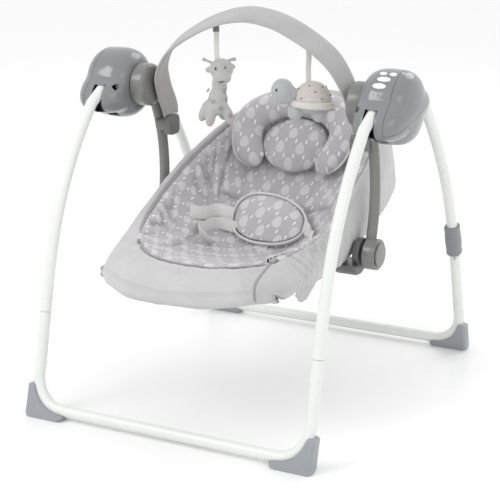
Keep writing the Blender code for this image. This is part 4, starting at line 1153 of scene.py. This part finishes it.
def build_pillow():
    arc, steps = [], 40
    for i in range(steps + 1):
        angle = math.radians(-143 + 286 * i / steps)
        reach = 0.065 if math.cos(angle) > 0 else 0.100
        arc.append((0.107 * math.sin(angle), reach * math.cos(angle) - 0.004, 0.012))
    arc = np.array(arc)

    def plump(t):
        end = min(t, 1 - t) * 2
        wide = 0.88 + 0.12 * min(1.0, end * 1.5) - 0.10 * max(0.0, end - 0.6)
        round_off = math.sqrt(max(0.0, 1 - max(0.0, 1 - end / 0.17) ** 2))
        return wide * max(0.12, round_off), 0.95 * max(0.12, round_off)

    section = [(0.032 * math.cos(a), 0.024 * math.sin(a)) for a in round_angles(27)]
    frames = along_line(arc, (0, 0, 1))
    rings = []
    for i, (_, out, across) in enumerate(frames):
        wide, tall = plump(i / steps)
        rings.append([arc[i] + across * p * wide + out * q * tall for p, q in section])

    def edge(p):
        local = np.asarray(p) - PILLOW
        u, v = local[0], local @ BACK_UP
        off = arc[:, :2] - (u, v)
        near = np.hypot(off[:, 0], off[:, 1]).min()
        return near > 0.0275 and np.hypot(u, v + 0.004) > 0.075

    pillow = puff("head_pillow_looks", rings, on_pillow, "head_pillow", 4.0, 0.008, edge)
    lay_cloth(pillow, (1, 0, 0), BACK_UP, 0.06)
    line = np.array([on_pillow(*(arc[i] - across * 0.0325 * plump(i / steps)[0]))
                     for i, (_, _, across) in enumerate(frames)])
    flange = sweep(spline(line[1:-1:2], 4), rounded(0.0075, 0.0034, 0.0015, 3), side=BACK_UP,
                   scale=lambda t: (min(1.0, 12 * min(t, 1 - t) + 0.3),) * 2)
    ring_piece("head_pillow_piping", flange, "light_piping", "seat", "velour")
    oval = [(0.073 * math.cos(a), 0.060 * math.sin(a) - 0.027) for a in round_angles(48)]
    cushion = puff("head_cushion_looks", crowned(oval, (0, -0.027), -0.014, 0.020), on_pillow,
                   "head_cushion", 4.0, 0.007,
                   lambda p: abs((np.asarray(p) - PILLOW) @ BACK_OUT - 0.9 * p[0] ** 2) < 0.002)
    lay_cloth(cushion, (1, 0, 0), BACK_UP, 0.0)


def pad_outline(grow=0.0):
    """Blunt egg: fuller at the seat's left, drawn in towards its right."""
    def blunt(value):
        return math.copysign(abs(value) ** 0.88, value)

    line = []
    for a in round_angles(72):
        tall = (0.054 + grow) * (1 - 0.13 * math.cos(a))
        line.append(((0.0835 + grow) * blunt(math.cos(a)),
                     tall * blunt(math.sin(a)) - 0.07 * 0.081 * math.cos(a)))
    return line


def build_harness_pad():
    pad = puff("harness_pad_looks", crowned(pad_outline(-0.004), (0, 0), -0.007, 0.0085), on_pad,
               "harness_pad", 3.0, 0.004,
               lambda p: abs((np.asarray(p) - PAD) @ PAD_OUT) < 0.0016, grow=0.01, voxel=0.0038)
    lay_cloth(pad, (1, 0, 0), PAD_UP, -0.35)
    line = np.array([on_pad(u, v, 0.0005) for u, v in pad_outline(-0.0005)])
    rim = sweep(line, rounded(0.0085, 0.0046, 0.0021, 3), side=PAD_OUT, closed=True)
    ring_piece("harness_pad_piping", rim, "light_piping", "seat", "velour", loop=True)


def tape(name, line, width, side, thick=0.0018, body="seat", replaced=()):
    """Flat woven tape along a line."""
    line = spline(line, 8)
    section = rounded(width, thick, thick * 0.45, 2)
    at = arc_length(line)
    cloth = [(p, s, 0) for s in at for p, _ in section]
    piece = mesh_piece(name, *skin(sweep(line, section, side=side)), LOOKS["webbing"], body,
                       "webbing", replaces=replaced, cloth=cloth)


def build_harness(grid, up):
    """Straps, their adjuster and the slot that one of them comes through."""
    mid = grid.shape[1] // 2

    def seat_at(r, c, lift):
        i, j = round(r * FINE), mid + round(c * FINE)
        return grid[i, j] + up[i, j] * lift

    left = [(-0.0790, 0.0400, 0.3315), seat_at(9.25, -1.92, 0.0115), seat_at(8.75, -2.15, 0.0095),
            seat_at(8.4, -2.4, 0.0075), seat_at(8.25, -2.55, 0.003)]
    tape("waist_strap_left_looks", left, 0.027, (0.2, 0.5, 0.85), replaced=["waist_strap_left"])
    right = [(0.0835, 0.0370, 0.3285), seat_at(9.0, 1.8, 0.0115), seat_at(8.5, 2.15, 0.0095),
             seat_at(8.1, 2.5, 0.0075), seat_at(7.9, 2.75, 0.003)]
    tape("waist_strap_right_looks", right, 0.027, RIGHT_STRAP_SIDE, replaced=["waist_strap_right"])
    # The loose end of the left strap curls over on itself.
    tail = [on_pad(-0.066, -0.026, -0.001), seat_at(8.85, -1.67, 0.0115),
            seat_at(8.2, -1.82, 0.0115), seat_at(7.85, -1.72, 0.0155),
            seat_at(7.8, -1.40, 0.0145), seat_at(8.0, -1.15, 0.0075)]
    tape("strap_tail", tail, 0.024, (0.1, 0.30, 0.95))
    crotch = [on_pad(0.0, -0.040, -0.0095), seat_at(8.9, 0, 0.001), seat_at(8.55, 0, -0.003)]
    tape("crotch_strap_looks", crotch, 0.030, (1, 0, 0), replaced=["crotch_strap"])
    build_adjuster(spline(right, 8))
    # The slot lies in the front corner of the seat.
    build_slot(np.array([seat_at(4.85 + 1.45 * t, 3.45 - 0.62 * t - 0.25 * math.sin(math.pi * t),
                                 0.0020) for t in np.linspace(0, 1, 13)]))
    build_flap(grid[:, mid + 8 * FINE])


def build_adjuster(line):
    """A slide adjuster on a strap, with its stud."""
    spot, along = line[12], unit(line[13] - line[11])
    wide = np.array(RIGHT_STRAP_SIDE)
    wide = unit(wide - along * wide.dot(along))
    out = np.cross(wide, along)
    out = out * (1 if out[2] > 0 else -1)
    ring = np.array([spot + wide * a + along * b + out * 0.0012
                     for a, b in rounded(0.0320, 0.0120, 0.0030, 4)])
    frame_rings = sweep(ring, rounded(0.0028, 0.0030, 0.0009, 2), side=out, closed=True)
    ring_piece("strap_adjuster", frame_rings, "white_plastic", "seat", "white_plastic", loop=True)
    stud = spot - wide * 0.0065 + out * 0.0030
    stud_rings = sweep([stud - out * 0.0020, stud, stud + out * 0.0008], circle(0.0021, 14),
                       side=along, scale=lambda t: (1 - 0.35 * t * t,) * 2)
    ring_piece("strap_stud", stud_rings, "dark", "seat", "dark_plastic")


def build_slot(path):
    """A slit that tapers to both ends, drawn as a near-black strip of painted shadow, with a bound edge
    on either side.
    """
    def taper(t):
        return 0.15 + 0.85 * math.sin(math.pi * min(max(t, 0.03), 0.97)) ** 0.6

    across = np.array([0.6, 0.8, 0])
    rings = sweep(path, rounded(0.0062, 0.0016, 0.0006, 2), side=across,
                  scale=lambda t: (taper(t), 1))
    ring_piece("seat_slot", rings, "slit", "seat", "printed_fabric")
    for k, shift in enumerate((-1, 1)):
        lips = [p + across * shift * 0.0034 * taper(t) + np.array([0, 0, 0.0008])
                for p, t in zip(path, np.linspace(0.03, 0.97, 13))]
        ring_piece(f"seat_slot_piping_{k}", sweep(lips, circle(0.0013, 8), side=(0, 0, 1)),
                   "light_piping", "seat", "velour")


def build_flap(hem):
    """A corner of the cover that hangs loose below the right hem."""
    flap = []
    for t in np.linspace(0, 1, 13):
        top = hem[round((5.1 + 1.1 * t) * FINE)]
        drop = 0.008 + 0.026 * math.sin(math.pi * (0.08 + 0.84 * t)) ** 1.3
        flap.append([top + np.array([-0.002 - 0.006 * s * s + 0.002 * math.sin(9 * t),
                                     0.004 * s * math.cos(5 * t), 0.004 - drop * s])
                     for s in np.linspace(0, 1, 7)])
    flap = np.array(flap)
    faces, _ = shell_faces(13, 7)
    corner = mesh_piece("seat_cover_corner", flap.reshape(-1, 3), faces, LOOKS["velour"], "seat",
                        "velour", smooth_deg=80)
    modify(corner, "thickness", "SOLIDIFY", thickness=0.0014, offset=0.0)
    width = float(arc_length(flap[:, 0])[-1])


# Toy bar and toys.

BAR_ARCH = ((0.2085, 0.0155, 0.5322), (0.2085, 0.0140, 0.545), (0.2080, -0.010, 0.588),
            (0.2010, -0.028, 0.630), (0.1720, -0.034, 0.676), (0.118, -0.034, 0.7135),
            (0.060, -0.034, 0.7390), (0.0, -0.034, 0.7490))
BAR_LEAN = np.array([0, 0.90, 0.436])  # the way the band's width lies
FACING = np.array([0.469, -0.883, 0])  # the way the giraffe looks
BESIDE = np.array([0.883, 0.469, 0])
RIBBON_SWAY = {"giraffe": 0.001, "turtle": 0.0}
# Each ball of a toy: its place (beside, height, ahead), its half sizes and its lean.
GIRAFFE_BALLS = (
    ((0.010, 0.6390, 0.000), (0.0232, 0.0205, 0.0215)),  # head
    ((0.0110, 0.6250, 0.0115), (0.0185, 0.0150, 0.0140)),  # snout
    ((0.006, 0.606, 0.000), (0.0150, 0.0135, 0.030)),  # neck
    ((0.003, 0.580, 0.001), (0.0190, 0.0160, 0.026)),  # chest
    ((0.002, 0.566, 0.002), (0.0215, 0.0165, 0.018)),  # hips
    ((-0.022, 0.5575, -0.004), (0.0105, 0.0110, 0.0240), -0.42),  # legs
    ((-0.0115, 0.5480, 0.010), (0.0105, 0.0110, 0.0210), -0.12),
    ((0.0215, 0.5520, 0.004), (0.0105, 0.0110, 0.0240), 0.38),
    ((0.012, 0.5560, -0.010), (0.0105, 0.0110, 0.0200), 0.12),
    ((-0.0130, 0.6380, -0.002), (0.0095, 0.0038, 0.0062), 0.12),  # ears
    ((0.0300, 0.6440, -0.004), (0.0080, 0.0038, 0.0058), -0.2),
    ((-0.0125, 0.6530, -0.002), (0.0115, 0.0030, 0.0030), -0.42),  # horns and their knobs
    ((-0.0235, 0.6575, -0.002), (0.0048, 0.0042, 0.0042)),
    ((0.0290, 0.6575, -0.003), (0.0070, 0.0030, 0.0030), 0.25),
    ((0.0345, 0.6580, -0.003), (0.0045, 0.0042, 0.0042)),
    ((-0.0165, 0.5960, -0.010), (0.0026, 0.0026, 0.0060), -0.6),  # tip of the tail
)
GIRAFFE_FEET_Z = 0.5455
TURTLE_SHELL = (0.0085, 0.5930)  # middle of the shell's rim: beside, height
TURTLE_BALLS = (
    ((-0.0475, 0.6120, 0.004), (0.0225, 0.0200, 0.0250), 0.25),  # head
    ((-0.034, 0.6060, 0.003), (0.0170, 0.0160, 0.0170)),  # neck
    ((TURTLE_SHELL[0], 0.5840, 0), (0.0345, 0.0270, 0.0140)),  # belly
    ((-0.0250, 0.5725, 0.012), (0.0135, 0.0125, 0.0150), 0.3),  # feet
    ((0.0200, 0.5700, 0.012), (0.0145, 0.0130, 0.0150), -0.1),
    ((-0.0130, 0.5760, -0.014), (0.0120, 0.0120, 0.0130)),
    ((0.0290, 0.5760, -0.013), (0.0120, 0.0120, 0.0130)),
    ((0.0440, 0.5790, -0.002), (0.0065, 0.0055, 0.0065)),  # tail
)


def build_toy_bar():
    line = spline([*BAR_ARCH, *((-x, y, z) for x, y, z in reversed(BAR_ARCH[:-1]))], 8)
    outer, inner = [], []
    for s in np.linspace(-1, 1, 29):
        crown = (1 - abs(s) ** 5) ** 0.5 if abs(s) < 1 else 0.0
        seam = 0.0011 * math.exp(-((abs(s) - 0.84) / 0.035) ** 2)
        outer.append((0.0275 * s, 0.0008 + 0.0030 * crown - seam))
        inner.append((0.0275 * s, -0.0008 - 0.0026 * crown + seam * 0.8))
    section = outer + inner[::-1]
    rings = []
    for i, point in enumerate(line):
        along = unit(line[min(i + 1, len(line) - 1)] - line[max(i - 1, 0)])
        across = unit(BAR_LEAN - along * BAR_LEAN.dot(along))
        out = np.cross(across, along)
        rings.append([point + across * a + out * b for a, b in section])
    at = arc_length(line)
    verts, faces = skin(rings)
    count, side = len(section), len(outer)
    for k, v in enumerate(verts):
        spot = Vector((at[k // count] * 22, section[k % count][0] * 40, k % count >= side))
        v[2] += 0.0007 * noise.noise(spot)
    band = mesh_piece("toy_bar_looks", verts, faces, [LOOKS["bar"], LOOKS["bar_lining"]], "toy_bar",
                      "velour", replaces=["toy_bar"], smooth_deg=75)
    for k, face in enumerate(band.data.polygons):
        if k < (len(rings) - 1) * count:
            face.material_index = int(side < k % count < 2 * side - 1)
    for hand in SIDES:
        carry(f"toy_bar_clip_{hand}", LOOKS["clip"], 0.0022, 40)


def ball(centre, size, lean=0.0, rows=14, count=22):
    """Rings of an ellipsoid. Lean turns it about the way that the giraffe looks."""
    up = np.array([0, 0, 1.0])
    across = (BESIDE * math.cos(lean) + up * math.sin(lean)) * size[0]
    tall = (up * math.cos(lean) - BESIDE * math.sin(lean)) * size[2]
    rings = []
    for i in range(rows + 1):
        phi = math.pi * (0.02 + 0.96 * i / rows)
        rings.append([centre + (across * math.cos(t) + FACING * size[1] * math.sin(t)) * math.sin(phi)
                      - tall * math.cos(phi) for t in round_angles(count)])
    return rings


def together(ring_sets):
    """Vertices and faces of several skins in one mesh."""
    verts, faces = [], []
    for rings in ring_sets:
        more_verts, more_faces = skin(rings)
        faces += [tuple(i + len(verts) for i in face) for face in more_faces]
        verts += list(more_verts)
    return verts, faces


def stuffed(name, balls, look, body, replaced=()):
    """One soft skin over overlapping balls, as a sewn and stuffed toy."""
    obj = remeshed(name, *together(balls), look, 0.0017, 5)
    for v in obj.data.vertices:
        v.co += v.normal * (0.0005 * noise.noise(v.co * 90) + 0.0003 * noise.noise(v.co * 300))
    obj.data.shade_smooth()
    for one in look if isinstance(look, list) else [look]:
        if one.name not in obj.data.materials:
            obj.data.materials.append(one)
    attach(obj, body)
    if replaced:
        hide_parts(*replaced)
    return obj


def below(top):
    """Gives the places beside a toy's hanging point and ahead of it, at any height."""
    def at(beside, z, ahead=0.0):
        return np.array([top.x, top.y, z]) + BESIDE * beside + FACING * ahead
    return at


def hang_ribbon(toy, top, end):
    """The ribbon from the toy bar down to a toy."""
    path = [top, top + Vector((0.001, 0, -0.022)), top + Vector((0, RIBBON_SWAY[toy], -0.045)), end]
    tape(f"{toy}_ribbon", path, 0.010, BESIDE, thick=0.0011, body=toy)


def build_giraffe():
    at = below(GIRAFFE)
    balls = [ball(at(*place), size, *lean) for place, size, *lean in GIRAFFE_BALLS]
    pink = plush("giraffe_feet", (0.52, 0.475, 0.465))
    body = stuffed("giraffe_toy_looks", balls, [plush("giraffe_plush", (0.47, 0.475, 0.465),
                   (0.27, 0.28, 0.27), 0.019), pink], "giraffe", ["giraffe_toy"])
    for face in body.data.polygons:
        face.material_index = int(face.center.z < GIRAFFE_FEET_Z)
    for name, spot, size in (("left", at(-0.0010, 0.6430, 0.0187), (0.0016, 0.0012, 0.0031)),
                             ("right", at(0.0175, 0.6450, 0.0190), (0.0014, 0.0012, 0.0027))):
        rings = ball(spot, size, 0.25 if name == "right" else -0.2, 10, 16)
        ring_piece(f"giraffe_eye_{name}", rings, "dark", "giraffe", "dark_plastic")
    smile = [at(0.0050, 0.6185, 0.0243), at(0.0085, 0.6172, 0.0258), at(0.0120, 0.6180, 0.0260),
             at(0.0150, 0.6200, 0.0250)]
    ring_piece("giraffe_smile", sweep(spline(smile, 5), circle(0.0008, 8), side=(0, 0, 1)), "dark",
               "giraffe", "dark_plastic")
    hang_ribbon("giraffe", GIRAFFE, at(0.002, 0.655))
    clip = [GIRAFFE + Vector((0, 0, -0.0150)), GIRAFFE + Vector((0, 0, -0.0050))]
    ring_piece("giraffe_ribbon_clip", sweep(clip, rounded(0.0125, 0.0050, 0.0016, 3), side=BESIDE),
               "clip", "giraffe", "clip_plastic")


def build_turtle():
    at = below(TURTLE)
    centre = TURTLE_SHELL
    shell, steps = [], 12
    for i in range(steps + 1):
        phi = math.pi / 2 * i / steps
        flat, tall = max(math.cos(phi), 0.02), math.sin(phi)
        shell.append([at(centre[0] + 0.0375 * flat * math.cos(t), centre[1] + 0.0385 * tall,
                         0.0300 * flat * math.sin(t)) for t in round_angles(40)])
    under = [[(p - at(*centre)) * [0.97, 0.97, 0] + at(centre[0], centre[1] - 0.004) for p in shell[0]]]
    stuffed("turtle_shell", [under + shell], plush("turtle_shell_plush", (0.60, 0.555, 0.53)),
            "turtle")
    rim_line = [at(centre[0] + 0.0385 * math.cos(t), centre[1] - 0.0045 - 0.0022 * math.cos(t),
                   0.0310 * math.sin(t)) for t in round_angles(48)]
    rim = sweep(rim_line, rounded(0.0135, 0.0095, 0.0044, 4), side=(0, 0, 1), closed=True)
    mesh_piece("turtle_rim", *skin(rim, loop=True), plush("turtle_rim_plush", (0.66, 0.635, 0.60)),
               "turtle", "plush")
    balls = [ball(at(*place), size, *lean) for place, size, *lean in TURTLE_BALLS]
    stuffed("turtle_toy_looks", balls, plush("turtle_plush", (0.43, 0.45, 0.455)), "turtle",
            ["turtle_toy"])
    eye = ball(at(-0.0600, 0.6175, 0.0205), (0.0019, 0.0014, 0.0030), 0, 10, 16)
    ring_piece("turtle_eye", eye, "dark", "turtle", "dark_plastic")
    dots = []
    for turn, tilt in ((-2.2, 0.25), (-2.75, 0.72), (-1.9, 0.98), (-1.45, 0.58), (-1.1, 0.22),
                       (-0.75, 0.86), (-0.35, 0.36), (0.3, 0.75), (0.9, 0.3), (1.6, 0.62),
                       (2.3, 0.28), (2.9, 0.5)):
        flat, tall = math.cos(tilt), math.sin(tilt)
        spot = at(centre[0] + 0.0378 * flat * math.cos(turn), centre[1] + 0.0388 * tall,
                  -0.0303 * flat * math.sin(turn))
        dots.append(ball(spot, (0.0014, 0.0014, 0.0014), 0, 8, 12))
    mesh_piece("turtle_dots", *together(dots), LOOKS["dark"], "turtle", "dark_plastic")
    hang_ribbon("turtle", TURTLE, at(0.001, 0.6290))


build_stage()
build_camera()
build_stand()
build_hubs()
build_arms()
seat_grid, seat_up = build_seat_cover()
build_pillow()
build_harness_pad()
build_harness(seat_grid, seat_up)
build_toy_bar()
build_giraffe()
build_turtle()
